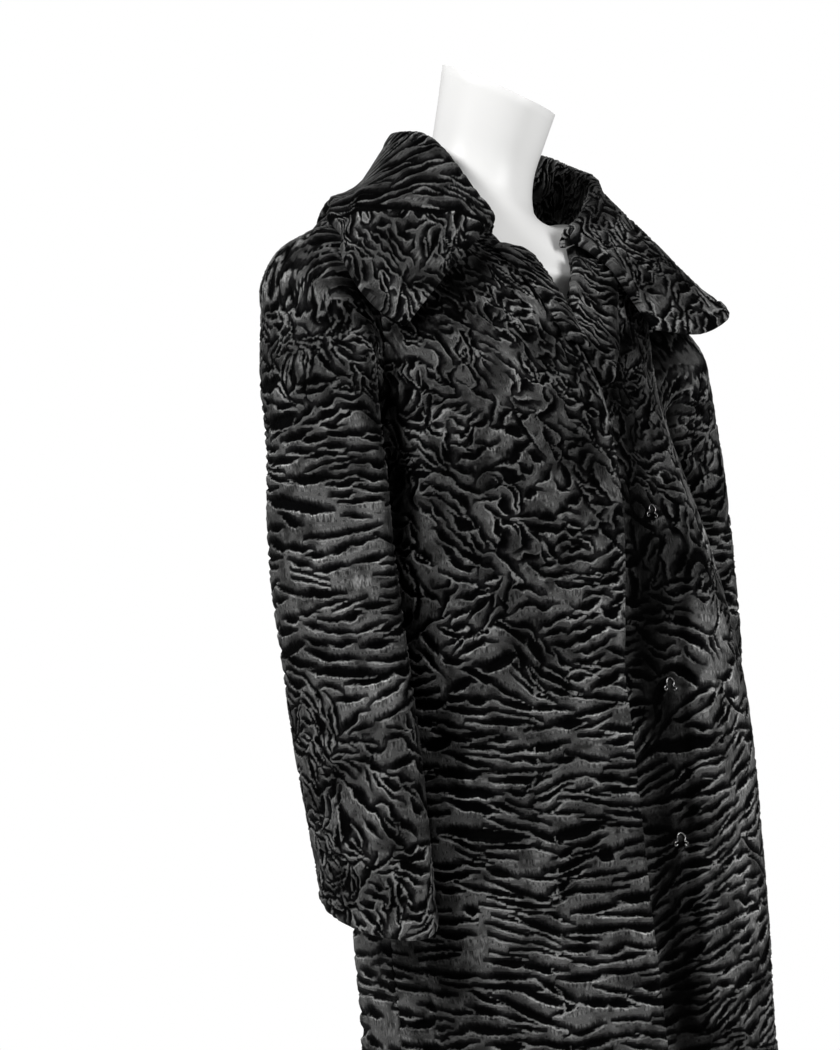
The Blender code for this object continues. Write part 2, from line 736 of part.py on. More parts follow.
def form_grid():
    """The dress form's rings: hips to chest, the shoulders under the coat, then the neck."""
    rings = []
    for ring in FORM_TABLE:
        rings.append([ring_point(ring, 360.0 * i / FORM_SIDES) for i in range(FORM_SIDES)])
    turns = [360.0 * i / FORM_SIDES for i in range(FORM_SIDES)]
    for place in FORM_TOP_RINGS:
        rings.append([surface_frame(coat_point, place, turn, -FORM_INSET).translation for turn in turns])
    neck = ring_at(RING_TABLE, NECK_RING)
    rings.append([ring_point(neck, turn, -FORM_NECK_INSET) for turn in turns])
    foot = Vector((neck["x"] + NECK_SHIFT, neck["y"], neck["z"] - 0.012))
    lean_left = math.tan(math.radians(NECK_LEAN_LEFT))
    lean_forward = math.tan(math.radians(NECK_LEAN_FORWARD))
    axis = Vector((lean_left, -lean_forward, 1.0)).normalized()
    cap_x = math.tan(math.radians(CAP_SLANT_LEFT))
    cap_y = math.tan(math.radians(CAP_SLANT_FORWARD))
    last = NECK[-1][0]
    for along, radius in NECK:
        slant = smooth(along / last)
        centre = foot + axis * along
        ring = []
        for i in range(FORM_SIDES):
            angle = 2.0 * math.pi * i / FORM_SIDES
            x = radius * math.sin(angle)
            y = -radius * math.cos(angle)
            drop = mix(math.tan(math.radians(neck["tilt"])) * x, cap_x * x - cap_y * y, slant)
            ring.append(centre + Vector((x, y, -drop)))
        rings.append(ring)
    return rings


def build_form():
    form = loft("form_torso", form_grid())
    paint(form, "form", WHITE_GLOSS)
    bottom = FORM_TABLE[0]["z"]
    bpy.ops.mesh.primitive_cylinder_add(
        vertices=24, radius=POLE_RADIUS, depth=bottom - BASE_HEIGHT - 2.0 * SEAM_GAP
    )
    pole = bpy.context.object
    pole.name = "form_pole"
    pole.location = (POLE_X, POLE_Y, (bottom + BASE_HEIGHT) / 2.0)
    bpy.ops.mesh.primitive_cylinder_add(vertices=64, radius=BASE_RADIUS, depth=BASE_HEIGHT)
    base = bpy.context.object
    base.name = "form_base"
    base.location = (POLE_X, POLE_Y, BASE_HEIGHT / 2.0)
    for item in (pole, base):
        for holder in item.users_collection:
            holder.objects.unlink(item)
        bpy.data.collections[COLLECTION].objects.link(item)
        paint(item, "steel", STEEL)


def wire_object(name, points):
    """A bent wire through points."""
    curve = bpy.data.curves.new(name, "CURVE")
    curve.dimensions = "3D"
    curve.bevel_depth = WIRE
    curve.bevel_resolution = 0
    curve.use_fill_caps = True
    path = curve.splines.new("POLY")
    path.points.add(len(points) - 1)
    for spot, point in zip(path.points, points):
        spot.co = (*point, 1.0)
    item = bpy.data.objects.new(name, curve)
    bpy.data.collections[COLLECTION].objects.link(item)
    curve.materials.append(finish_material("wire", BLACK_WIRE))


def surface_frame(point_at, place, degrees, out):
    """A frame on a panel: x to the wearer's left, y up the panel, z out of it."""
    spot = point_at(place, degrees)
    aside = (point_at(place, degrees + 1.0) - spot).normalized()
    up = (point_at(place + 0.05, degrees) - spot).normalized()
    normal = aside.cross(up).normalized()
    up = normal.cross(aside)
    spot = spot + normal * out
    return Matrix(
        (
            (aside.x, up.x, normal.x, spot.x),
            (aside.y, up.y, normal.y, spot.y),
            (aside.z, up.z, normal.z, spot.z),
            (0.0, 0.0, 0.0, 1.0),
        )
    )


def eye_points():
    """A wide loop between two small ones, open at the back."""
    points = []
    for i in range(13):
        angle = math.radians(-40.0 + 260.0 * i / 12.0)
        points.append((EYE_LOOP * math.cos(angle), EYE_LOOP * math.sin(angle), 0.0))
    feet = []
    for i in range(1, 6):
        angle = math.radians(140.0 - 60.0 * i)
        feet.append((0.0018 * math.cos(angle), 0.0018 * math.sin(angle)))
    start = points[0]
    end = points[-1]
    left = [(start[0] + 0.0022 + x * 0.9, start[1] - 0.0024 + y, 0.0) for x, y in feet[::-1]]
    right = [(end[0] - 0.0022 - x * 0.9, end[1] - 0.0024 + y, 0.0) for x, y in feet]
    return left + points + right


def hook_points():
    """A hook: a shank that turns back under itself."""
    points = [(0.0, 0.0, 0.0), (HOOK_LENGTH * 0.5, 0.0, 0.0), (HOOK_LENGTH * 0.9, 0.0, 0.0)]
    for i in range(1, 6):
        angle = math.pi * i / 5.0
        x = HOOK_LENGTH * 0.9 + 0.0018 * math.sin(angle)
        points.append((x, 0.0, -0.0018 + 0.0018 * math.cos(angle)))
    points.append((HOOK_LENGTH * 0.45, 0.0, -0.0036))
    return points


def build_fastenings(left):
    tree = tree_of(left)
    for number, (place, offset) in enumerate(zip(EYE_RINGS, EYE_OFFSETS), 1):
        ring = ring_at(RING_TABLE, place)
        frame = surface_frame(left_front_point, place, angle_of(ring, offset), WIRE)
        points = [clear_of(frame @ Vector(point), [tree], WIRE + REST_GAP) for point in eye_points()]
        wire_object("eye_%d" % number, points)
        edge = read(EDGE_TABLE, "ring", place, "right_front")
        degrees = angle_of(ring, edge - HOOK_LENGTH - 0.004)
        frame = surface_frame(coat_point, place, degrees, -WALL - WIRE - 2.0 * REST_GAP)
        wire_object("hook_%d" % number, [frame @ Vector(point) for point in hook_points()])


def move_to_centre():
    for item in bpy.data.collections[COLLECTION].objects:
        item.location.x += CENTRE_X
        item.location.y += CENTRE_Y


def main():
    for item in list(bpy.data.objects):
        bpy.data.objects.remove(item, do_unlink=True)
    collection = bpy.data.collections.new(COLLECTION)
    bpy.context.scene.collection.children.link(collection)
    right, left, back = build_panels()
    sleeves = build_sleeves((right, left, back))
    lapels = build_lapels(right, left)
    build_collar([right, left, back] + sleeves + lapels)
    build_form()
    build_fastenings(left)
    move_to_centre()


main()
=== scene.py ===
import math

import bpy
import numpy as np
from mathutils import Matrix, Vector
from mathutils.bvhtree import BVHTree


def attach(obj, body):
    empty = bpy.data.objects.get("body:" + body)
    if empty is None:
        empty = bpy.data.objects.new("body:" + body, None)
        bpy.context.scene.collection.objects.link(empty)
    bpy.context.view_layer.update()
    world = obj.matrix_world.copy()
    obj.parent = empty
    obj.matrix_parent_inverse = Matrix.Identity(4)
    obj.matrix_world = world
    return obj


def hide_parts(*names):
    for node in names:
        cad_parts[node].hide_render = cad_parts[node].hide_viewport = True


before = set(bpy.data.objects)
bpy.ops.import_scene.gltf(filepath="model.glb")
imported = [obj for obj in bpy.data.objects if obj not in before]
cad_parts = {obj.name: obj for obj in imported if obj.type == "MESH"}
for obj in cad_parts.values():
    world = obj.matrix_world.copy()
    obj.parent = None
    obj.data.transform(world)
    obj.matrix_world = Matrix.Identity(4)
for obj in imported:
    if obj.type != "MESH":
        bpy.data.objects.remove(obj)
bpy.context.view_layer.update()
print("stage: frame loaded")

figure = {  # the coat's form, in metres, ring numbers and degrees
    "centre": (-0.033, 0.050),  # shift of the whole figure
    "squareness": 2.3,  # 2 would make every ring an ellipse
    "wall": 0.005, "collarWall": 0.007, "lapelWall": 0.006,
    "armpitRing": 8.0, "shoulderRing": 12.0, "neckRing": 15.0,
    "sideSeam": 84.0, "shoulderSeam": 90.0,  # degrees round from the middle of the front
    "seamGap": 0.0003,
    "restGap": 0.0004,  # air under a piece that lies on another
    "stripStep": 0.016,  # width of the step beside the left front's sunken strip
    "bulgeRun": 0.06,
    "probe": (0.05, 1.0),  # steps in rings and degrees that find a surface's slope
    "pathSteps": 900, "hemSteps": 80,  # how finely a path or the hem is measured
    "clearRounds": 2,
    "clearReach": 0.05,  # a point further than this from a surface is left alone
    "treeStep": 4,  # a surface to keep clear of takes every fourth point
    "lapelTreeStep": 3,
}


def inMetres(table, plain):  # from millimetres, all but one column
    return {
        key: values if key == plain else tuple(round(value / 1000, 6) for value in values)
        for key, values in table.items()
    }


ringTable = inMetres({  # rings from the hem up to the neck
    "z": (360, 470, 590, 690, 790, 890, 980, 1070, 1145, 1210, 1262, 1300, 1326, 1347, 1366, 1386),
    "x": (74, 69, 62, 56, 50, 41, 29, 14, 2, -6, -9, -10, -10, -10, -10, -10),
    "y": (-50, -48, -45, -42, -38, -32, -23, -13, -6, 0, 3, 4, 4, 4, 4, 4),
    "tilt": (1, 1, 1, 1.5, 2, 3, 5, 7, 9, 10.5, 11, 11, 11, 11, 11, 11),
    "right": (222, 210, 196, 199, 197, 191, 184, 173, 161, 160, 166, 171, 168, 146, 117, 84),
    "left": (232, 216, 200, 198, 197, 200, 202, 196, 182, 168, 167, 170, 168, 148, 124, 102),
    "front": (196, 182, 169, 167, 166, 165, 164, 164, 163, 155, 140, 122, 110, 104, 101, 98),
    "back": (186, 172, 158, 157, 155, 150, 145, 140, 137, 134, 129, 120, 109, 100, 91, 78),
    "dip": (0, 0, 0, 0, 0, 0, 0, 0, 0, 0, 0, 0, 4, 18, 34, 48),
}, "tilt")
armholeTable = {  # degrees from the line of the side seam to the armhole's two edges
    "ring": (8.0, 8.5, 9.5, 10.5, 11.5, 12.0),
    "front": (0.0, 15.0, 22.0, 24.0, 21.0, 0.0),
    "back": (0.0, 14.0, 22.0, 24.0, 22.0, 0.0),
}
edgeTable = inMetres({  # the fronts' free edges, across from the middle
    "ring": (0, 2, 4, 5.5, 6, 7, 8, 9, 9.8, 11, 12, 13.5, 15),
    "rightFront": (10, 4, -5, -3, 6, 27, 37, 37, 20, 0, -12, -22, -30),
    "leftFront": (-60, -62, -66, -62, -54, -34, -24, -10, 12, 34, 43, 52, 58),
}, "ring")
stripTable = inMetres({  # the left front's strip: its outer line, how deep it lies, the bulge beside it
    "ring": (0, 2, 3.4, 5.4, 7, 8, 9.5, 10.4, 12, 15),
    "line": (40, 44, 52, 80, 104, 112, 100, 92, 85, 80),
    "inset": (11, 11, 13, 15, 14, 12, 11, 6, 0, 0),
    "bulge": (0, 2, 4, 4, 2, 0, 0, 0, 0, 0),
}, "ring")
foldList = (  # angle at its top, at its foot, ring it fades in below, width, depth
    (289.0, 287.0, 4.4, 0.020, 0.011),
    (320.0, 314.0, 3.2, 0.055, -0.005),
    (66.0, 64.0, 3.4, 0.050, 0.006),
    (96.0, 94.0, 5.0, 0.045, -0.005),
    (150.0, 146.0, 6.0, 0.060, 0.008),
    (180.0, 180.0, 4.0, 0.050, -0.005),
    (208.0, 213.0, 6.5, 0.060, 0.008),
    (250.0, 252.0, 4.6, 0.050, -0.005),
)


def smoothStep(t):
    t = np.clip(t, 0.0, 1.0)
    return t * t * (3.0 - 2.0 * t)


def splineAt(values, at):
    values = np.asarray(values, float)
    last = len(values) - 1
    at = np.clip(np.asarray(at, float), 0.0, last)
    i = np.minimum(at.astype(int), last - 1)
    t = (at - i).reshape(at.shape + (1,) * (values.ndim - 1))
    b, c = values[i], values[i + 1]
    a = np.where((i > 0).reshape(t.shape), values[np.maximum(i - 1, 0)], 2 * b - c)
    d = np.where((i + 2 <= last).reshape(t.shape), values[np.minimum(i + 2, last)], 2 * c - b)
    t2, t3 = t * t, t * t * t
    ends = (2 * t3 - 3 * t2 + 1) * b + (3 * t2 - 2 * t3) * c
    return ends + (t3 - 2 * t2 + t) * (c - a) / 2 + (t3 - t2) * (d - b) / 2


def readTable(table, key, at, column):
    keys = np.asarray(table[key], float)
    return splineAt(table[column], np.interp(at, keys, np.arange(len(keys))))


def ringAt(place):
    return {name: splineAt(values, place) for name, values in ringTable.items()}


def ringPoint(ring, degrees, out=0.0):
    sine, cosine = np.sin(np.radians(degrees)), np.cos(np.radians(degrees))
    width = np.where(sine > 0, ring["left"], ring["right"]) + out
    depth = np.where(cosine > 0, ring["front"], ring["back"]) + out
    power = 2.0 / figure["squareness"]
    x = np.sign(sine) * np.abs(sine) ** power * width
    y = -np.sign(cosine) * np.abs(cosine) ** power * depth
    z = -ring["dip"] * np.maximum(cosine, 0.0) ** 2
    tilt = np.radians(ring["tilt"])
    return np.stack(np.broadcast_arrays(
        ring["x"] + x * np.cos(tilt) + z * np.sin(tilt) + figure["centre"][0],
        ring["y"] + y + figure["centre"][1],
        ring["z"] - x * np.sin(tilt) + z * np.cos(tilt),
    ), axis=-1)


def angleOf(ring, offset):
    width = np.where(offset > 0, ring["left"], ring["right"])
    share = np.clip(np.abs(offset) / width, 0.0, 1.0)
    return np.sign(offset) * np.degrees(np.arcsin(share ** (figure["squareness"] / 2.0)))


def foldDepth(ring, place, degrees):
    total = 0.0
    for top, foot, start, width, depth in foldList:
        down = np.clip((start - place) / (start + 0.5), 0.0, None)
        middle = top + (foot - top) * down
        away = (degrees - middle + 180.0) % 360.0 - 180.0
        aside = np.radians(away) * (ring["left"] + ring["front"]) / 2.0 / width
        total = total + depth * smoothStep(down * 2.0) * np.exp(-aside * aside * 2.0)
    return total


def coatPoint(place, degrees):
    ring = ringAt(place)
    return ringPoint(ring, degrees, -foldDepth(ring, place, degrees))


def leftFrontPoint(place, degrees):
    ring = ringAt(place)
    line, inset, bulge = (readTable(stripTable, "ring", place, c) for c in ("line", "inset", "bulge"))
    across = np.abs(np.sin(np.radians(degrees))) ** (2.0 / figure["squareness"])
    offset = np.sign(degrees) * across * ring["left"]
    step = smoothStep((offset - line + figure["stripStep"] / 2) / figure["stripStep"])
    side = smoothStep((offset - line) / figure["bulgeRun"])
    out = -inset + (bulge * (1.0 - side) + inset) * step
    return ringPoint(ring, degrees, out - foldDepth(ring, place, degrees))


def sideAngle(place, which):
    armpit, shoulder = figure["armpitRing"], figure["shoulderRing"]
    share = np.clip((place - armpit) / (shoulder - armpit), 0.0, 1.0)
    middle = figure["sideSeam"] + (figure["shoulderSeam"] - figure["sideSeam"]) * share
    away = readTable(armholeTable, "ring", place, which)
    away = np.where((place > armpit) & (place < shoulder), away, 0.0)
    return middle - away if which == "front" else middle + away


def seamAngle(ring):  # the seam's gap as an angle, a tenth wider for the curve
    return np.degrees(figure["seamGap"] / (ring["left"] + ring["back"]) * 2.2)


# a point moved out of the surface along its normal, and that normal
def liftedPoint(pointAt, place, degrees, out):
    rise, turn = figure["probe"]
    spot = pointAt(place, degrees)
    normal = np.cross(pointAt(place, degrees + turn) - spot, pointAt(place + rise, degrees) - spot)
    normal = normal / np.linalg.norm(normal, axis=-1, keepdims=True)
    return spot + normal * np.asarray(out)[..., None], normal


# places between low and high, evenly spaced along a path, and how far along they lie
def evenPlaces(pointAt, low, high, spacing):
    fine = np.linspace(low, high, figure["pathSteps"])
    path = pointAt(fine)
    length = np.concatenate([[0.0], np.cumsum(np.linalg.norm(np.diff(path, axis=0), axis=1))])
    steps = np.linspace(0.0, length[-1], int(length[-1] / spacing) + 1)
    return np.interp(steps, length, fine), steps


def evenAlong(line, spacing):  # the same along a row or column of points
    return evenPlaces(lambda place: splineAt(line, place), 0.0, len(line) - 1.0, spacing)


def acrossAt(grid, at):  # points at given places across each row
    return splineAt(grid.swapaxes(0, 1), at).swapaxes(0, 1)


def unit(vectors):
    return vectors / np.maximum(np.linalg.norm(vectors, axis=-1, keepdims=True), 1e-9)


def runOf(grid, axis):  # how far each point lies along its row or column
    first = np.take(grid, [0], axis)
    return np.cumsum(np.linalg.norm(np.diff(grid, axis=axis, prepend=first), axis=-1), axis=axis)


def normalsOf(grid, closed=False):
    along = np.gradient(grid, axis=0)
    across = (np.roll(grid, -1, 1) - np.roll(grid, 1, 1)) if closed else np.gradient(grid, axis=1)
    return unit(np.cross(across, along))


pelt = {  # the curls are grooves laid out on each pelt
    "pixel": 0.001,  # metres of pelt in one cell of a field
    "pad": 0.02,  # room round the pelt in its fields
    "depth": 0.0026,  # how deep the grooves lie under the flats
    "rim": 0.0005,  # lip along a groove's lower edge
    "rimAt": 0.4,
    "unit": 0.003,  # a curl value of 1 is this far out of the nearest groove
    "slow": (0.7, 2.0),  # where a groove's upper side starts to rise, and over how far
    "quick": (0.6, 0.9),
    "reach": 0.0075,  # ground further than this from a groove is all alike
    "sideRun": 0.0015,
    "tries": 6,  # places tried for each groove that would fit
    "around": 0.010,  # how far round a groove its distance is drawn
    "strays": ((0.0013, 0.012), (0.0006, 0.004)),  # how far an edge strays, and the size of a stray
    "blur": 3.0,  # how much a noise is smoothed for its size
    "calm": (0.36, 0.70, 0.4, 1.2),  # straight grooves have smoother edges
    "turnPatch": 0.024,
    "uneven": (0.45, 0.022),  # how unevenly the grooves are spread, and the size of a patch
    "variety": (0.24, 0.026),  # how much their size changes from place to place
    "bare": 0.62,  # a patch sparser than this has no grooves
    "lengths": (0.45, 1.2, 1.5),  # least, range and how rare the largest are
    "thicks": (0.38, 1.05, 1.4),
    "swell": 0.6,  # how much thicker they are in a dense patch
    "stoutest": 0.30,  # most thickness for a length
    "room": (0.47, 0.001),  # room between two grooves' ends, as a share of their lengths, and more
    "apart": (0.55, 0.22),  # room between their sides, as shares of pitch and thickness
    "straight": 2.0,  # a bend under this is drawn straight
    "spineStray": ((0.007, 31.0), (0.003, 83.0)),  # two waves of the fish-bone line: depth and pitch
    "spineWidth": 0.0012, "spineFade": 0.05,
    "plain": 1.5,  # curl value of the inner face
}
edgeLook = {
    "kept": 0.45, "sinkRun": 0.006,  # curls are flatter towards a free edge
    "rollRise": 0.004, "rollRun": 0.012,
    "seam": 0.0012, "seamRun": 0.0022,  # a sewn seam lies deeper
    "steps": 4, "turn": 160.0,  # the rounding of a free edge
    "bow": 0.05, "creaseFade": 0.08, "creaseFall": 0.7,  # how creases bend and die out
}
lengthColumns = {  # how many columns of a pelt's tables, from the first, are in millimetres
    "bands": 4,  # up, pitch, length, thickness, angle, swing, bend, cover
    "spines": 3,  # across, top, half width, angles before and behind, how much denser
    "patches": 4,  # across, up, half sizes, how much denser or barer
    "swirls": 4,  # across, up, half sizes, angle
    "marks": 4,  # across, up, length, thickness, angle, bend
    "shades": 4,  # across, up, half sizes, how much darker (painted shade) or lighter (painted light)
    "lines": 5,  # painted shadow and highlight lines: from across, up to across, up, half width, how much darker or lighter
    "creases": 6,  # from across, up to across, up, half width, depth
    "rows": 6,  # a sleeve's sections: z, x, y, half length, half width, dip, turn, lean
    "edge": 3,
}


def tableOf(look, key):  # one of a look's tables in metres
    count = lengthColumns[key]
    return [[round(v / 1000, 6) for v in row[:count]] + list(row[count:]) for row in look.get(key, ())]


def softNoise(shape, size, seed):
    rng = np.random.default_rng(seed)
    fy, fx = np.fft.fftfreq(shape[0])[:, None], np.fft.rfftfreq(shape[1])[None, :]
    low = np.exp(-(fx**2 + fy**2) * (size / pelt["pixel"]) ** 2 * pelt["blur"])
    field = np.fft.irfft2(np.fft.rfft2(rng.standard_normal(shape)) * low, shape)
    return field / field.std()


def bilinear(field, across, up):
    x = np.clip(across / pelt["pixel"] - 0.5, 0, field.shape[1] - 1.001)
    y = np.clip(up / pelt["pixel"] - 0.5, 0, field.shape[0] - 1.001)
    xi, yi = x.astype(int), y.astype(int)
    fx, fy = x - xi, y - yi
    low = field[yi, xi] * (1 - fx) + field[yi, xi + 1] * fx
    high = field[yi + 1, xi] * (1 - fx) + field[yi + 1, xi + 1] * fx
    return low * (1 - fy) + high * fy


grooveColumns = (  # of the table of bands
    "height", "pitch", "length", "thick", "angle", "swing", "bend", "cover",
)


def bandAt(look, up):
    columns = list(zip(*tableOf(look, "bands")))
    return {name: np.interp(up, columns[0], values) for name, values in zip(grooveColumns, columns)}


def spread(rng, count, least, extent, rare):
    return least + extent * rng.random(count) ** rare


# the grooves given one by one, then others at random, each clear of the ones before it
def layGrooves(look, shape, turns, more, size):
    rng = np.random.default_rng(look["seed"])
    finest = min(row[1] * row[2] for row in tableOf(look, "bands"))
    tries = int(shape[0] * shape[1] * pelt["pixel"] ** 2 / finest * pelt["tries"])
    columns, rows = (rng.integers(0, cells, tries) for cells in shape[::-1])
    x, y = ((at + 0.5) * pelt["pixel"] - pelt["pad"] for at in (columns, rows))
    band = bandAt(look, y)
    extra, turn, grown = more[rows, columns], turns[rows, columns], size[rows, columns]
    length = band["length"] * grown * spread(rng, tries, *pelt["lengths"])
    thick = band["thick"] * grown * spread(rng, tries, *pelt["thicks"])
    thick = np.minimum(thick * (1.0 + pelt["swell"] * np.maximum(extra, 0.0)), length * pelt["stoutest"])
    bend = band["bend"] * rng.standard_normal(tries)
    wanted = (rng.random(tries) < band["cover"] * (1.0 + extra)) & (extra > -pelt["bare"])
    groove = np.stack([x, y, turn, length, thick, bend], axis=1)
    marks = tableOf(look, "marks")
    kept, count = np.zeros((tries + len(marks), 6)), len(marks)
    for k, (across, up, markLength, markThick, angle, markBend) in enumerate(marks):
        kept[k] = (across, up, math.radians(angle), markLength, markThick, markBend)
    (endShare, endGap), (pitchShare, thickShare) = pelt["room"], pelt["apart"]
    for k in np.flatnonzero(wanted):
        dx, dy = kept[:count, 0] - x[k], kept[:count, 1] - y[k]
        along = np.abs(dx * math.cos(turn[k]) + dy * math.sin(turn[k]))
        aside = np.abs(dy * math.cos(turn[k]) - dx * math.sin(turn[k]))
        room = (kept[:count, 3] + length[k]) * endShare + endGap
        gap = band["pitch"][k] * grown[k] * pitchShare + (kept[:count, 4] + thick[k]) * thickShare
        if not np.any((along < room) & (aside < gap)):
            kept[count] = groove[k]
            count += 1
    return kept[:count]


# how far places lie outside a groove, and how far to its upper side
def intoGroove(groove, dx, dy):
    _, _, turn, length, thick, bend = groove
    along = dx * math.cos(turn) + dy * math.sin(turn)
    aside = dy * math.cos(turn) - dx * math.sin(turn)
    if abs(bend) > pelt["straight"]:
        radius = 1.0 / abs(bend)
        off = aside * math.copysign(1.0, bend) - radius
        aside = (radius - np.hypot(along, off)) * math.copysign(1.0, bend)
        along = np.arctan2(along, -off) * radius
    return (np.hypot(along / (length / 2), aside / (thick / 2)) - 1.0) * thick / 2, aside


def hump(across, up, x, z, wideX, wideZ):  # 1 at a place, and fading round it
    return np.exp(-(((across - x) / wideX) ** 2 + ((up - z) / wideZ) ** 2))


# one pelt's fields: distance out of the grooves, and 1 above a groove to -1 under it
def drawPelt(look, width, height):
    pad, pixel, seed = pelt["pad"], pelt["pixel"], look["seed"]
    shape = (int((height + 2 * pad) / pixel), int((width + 2 * pad) / pixel))
    steps = [(np.arange(count) + 0.5) * pixel - pad for count in shape]
    up, across = np.meshgrid(*steps, indexing="ij")
    band = bandAt(look, up)
    (uneven, patchSize), (variety, sizePatch) = pelt["uneven"], pelt["variety"]
    turns = np.radians(band["angle"]) + band["swing"] * softNoise(shape, pelt["turnPatch"], seed + 1)
    more = uneven * softNoise(shape, patchSize, seed + 2)
    size = np.exp(variety * np.clip(softNoise(shape, sizePatch, seed + 7), -2.0, 2.0))
    ridge = np.full(shape, -1.0)
    base, gain, least, most = pelt["calm"]
    calm = np.clip(base + gain * band["swing"], least, most)

    def stray(first):
        noises = [far * softNoise(shape, wide, first + i) for i, (far, wide) in enumerate(pelt["strays"])]
        return calm * sum(noises)

    strayX, strayY = stray(seed + 3), stray(seed + 5)
    (far, wave), (fine, ripple) = pelt["spineStray"]
    for line, top, wide, before, behind, extra in tableOf(look, "spines"):
        away = across - (line + far * np.sin(up * wave + seed) + fine * np.sin(up * ripple))
        held = smoothStep((top - up) / pelt["spineFade"])
        turns = turns + held * np.radians(np.where(away > 0, behind, -before)) * np.exp(-np.abs(away) / wide)
        more = more + held * extra * np.exp(-((away / wide) ** 2))
        seam = pelt["spineWidth"] - np.abs(away + strayX * 2.0)
        ridge = np.maximum(ridge, np.where(held > 0.5, seam, -1.0))
    for *spot, extra in tableOf(look, "patches"):
        more = more + extra * hump(across, up, *spot)
    for *spot, turn in tableOf(look, "swirls"):
        share = hump(across, up, *spot)
        turns = turns * (1 - share) + math.radians(turn) * share
    out, side = np.full(shape, pelt["reach"]), np.zeros(shape)
    placeX, placeY = across + strayX, up + strayY
    for groove in layGrooves(look, shape, turns, more, size):
        reach = groove[3] / 2 + pelt["around"]
        near = tuple(
            slice(max(int((at - reach + pad) / pixel), 0), int((at + reach + pad) / pixel) + 1)
            for at in groove[1::-1]
        )
        distance, aside = intoGroove(groove, placeX[near] - groove[0], placeY[near] - groove[1])
        nearer = distance < out[near]
        out[near][nearer] = distance[nearer]
        side[near][nearer] = np.clip(aside[nearer] / pelt["sideRun"], -1.0, 1.0)
    side = np.where(ridge > out, -1.0, side)
    return np.maximum(out, ridge) / pelt["unit"], side


def readPelt(drawn, across, up):
    return [bilinear(field, across + pelt["pad"], up + pelt["pad"]) for field in drawn]


def pelted(look, across, up):
    return readPelt(drawPelt(look, across.max(), up.max()), across, up)


def placed(name, mesh):
    mesh.polygons.foreach_set("use_smooth", np.ones(len(mesh.polygons), bool))
    piece = bpy.data.objects.new(name, mesh)
    bpy.context.scene.collection.objects.link(piece)
    return piece


def meshFrom(name, points, faces, values):
    mesh = bpy.data.meshes.new(name)
    mesh.from_pydata(points, [], faces)
    for key, data in values.items():
        data = np.asarray(data, np.float32)
        kind, slot = ("FLOAT", "value") if data.ndim == 1 else ("FLOAT_VECTOR", "vector")
        mesh.attributes.new(key, kind, "POINT").data.foreach_set(slot, data.ravel())
    mesh.update()
    return placed(name, mesh)


def extended(values, ahead, behind, axis):  # an array with its end lines repeated
    first = np.repeat(np.take(values, [0], axis), ahead, axis)
    last = np.repeat(np.take(values, [-1], axis), behind, axis)
    return np.concatenate([first, values, last], axis)


# the face carried round its free edges on one axis to its inner side
def roundedOff(face, grid, normal, sides, wall, axis):
    count = edgeLook["steps"]
    ahead, behind = (count if side else 0 for side in sides)
    full = extended(face, ahead, behind, axis)
    normal = extended(normal, ahead, behind, axis)
    take = lambda values, at: np.take(values, at, axis)
    for side, edge, inner in ((0, 0, 1), (1, -1, -2)):
        if not sides[side]:
            continue
        away = unit(take(grid, edge) - take(grid, inner))
        turn = np.radians(edgeLook["turn"]) * np.arange(1, count + 1) / count
        rows = slice(full.shape[axis] - behind, None)
        if side == 0:
            turn, rows = turn[::-1], slice(0, ahead)
        turn = turn.reshape((-1, 1, 1) if axis == 0 else (1, -1, 1))
        outward = np.expand_dims(away, axis) * np.sin(turn)
        sunk = np.expand_dims(take(normal, edge), axis) * (1 - np.cos(turn))
        where = [slice(None)] * 3
        where[axis] = rows
        full[tuple(where)] += (outward - sunk) * wall / 2
    return full, normal


# how far places lie from a line, and their share of its length
def fromLine(line, across, up, bow=0.0):
    x, z, toX, toZ = line
    run, rise = toX - x, toZ - z
    share = np.clip(((across - x) * run + (up - z) * rise) / (run * run + rise * rise), 0.0, 1.0)
    bent = bow * math.hypot(run, rise) * np.sin(math.pi * share)
    return np.hypot(across - x - run * share, up - z - rise * share - bent), share


# soft troughs (and ridges, where the depth is negative) from one place to another
def creased(look, across, up):
    total = np.zeros(across.shape)
    fade, fall = edgeLook["creaseFade"], edgeLook["creaseFall"]
    for *line, wide, deep in tableOf(look, "creases"):
        away, share = fromLine(line, across, up, math.copysign(edgeLook["bow"], deep))
        along = np.sin(math.pi * (fade + (1.0 - 2 * fade) * share)) ** fall
        total = total - deep * np.exp(-((away / wide) ** 2)) * along
    return total


# painted shade and painted light in the hair's colour by place: darker where shadows fall, lighter where
# light falls, partly the hair's own tone; 1 where nothing is said
def paintedShading(look, across, up):
    total = np.ones(across.shape)
    for *spot, amount in tableOf(look, "shades"):
        total = total * (1.0 - amount * hump(across, up, *spot))
    for *line, wide, amount in tableOf(look, "lines"):
        total = total * (1.0 - amount * np.exp(-((fromLine(line, across, up)[0] / wide) ** 2)))
    return total


def quads(index, turned=False):
    corners = (index[:-1, :-1], index[:-1, 1:], index[1:, 1:], index[1:, :-1])
    stack = np.stack([c.ravel() for c in corners], axis=1)
    return (stack[:, ::-1] if turned else stack).tolist()


def curlHeight(curl, side):
    above = smoothStep(side + 0.5)
    (slowFrom, slowRun), (quickFrom, quickRun) = pelt["slow"], pelt["quick"]
    slow, quick = smoothStep((curl + slowFrom) / slowRun), smoothStep((curl + quickFrom) / quickRun)
    high = above * slow + (1 - above) * quick
    lip = np.exp(-(((curl - pelt["rimAt"]) / pelt["rimAt"]) ** 2))
    return pelt["depth"] * (high - 1.0) + pelt["rim"] * (1 - above) * lip


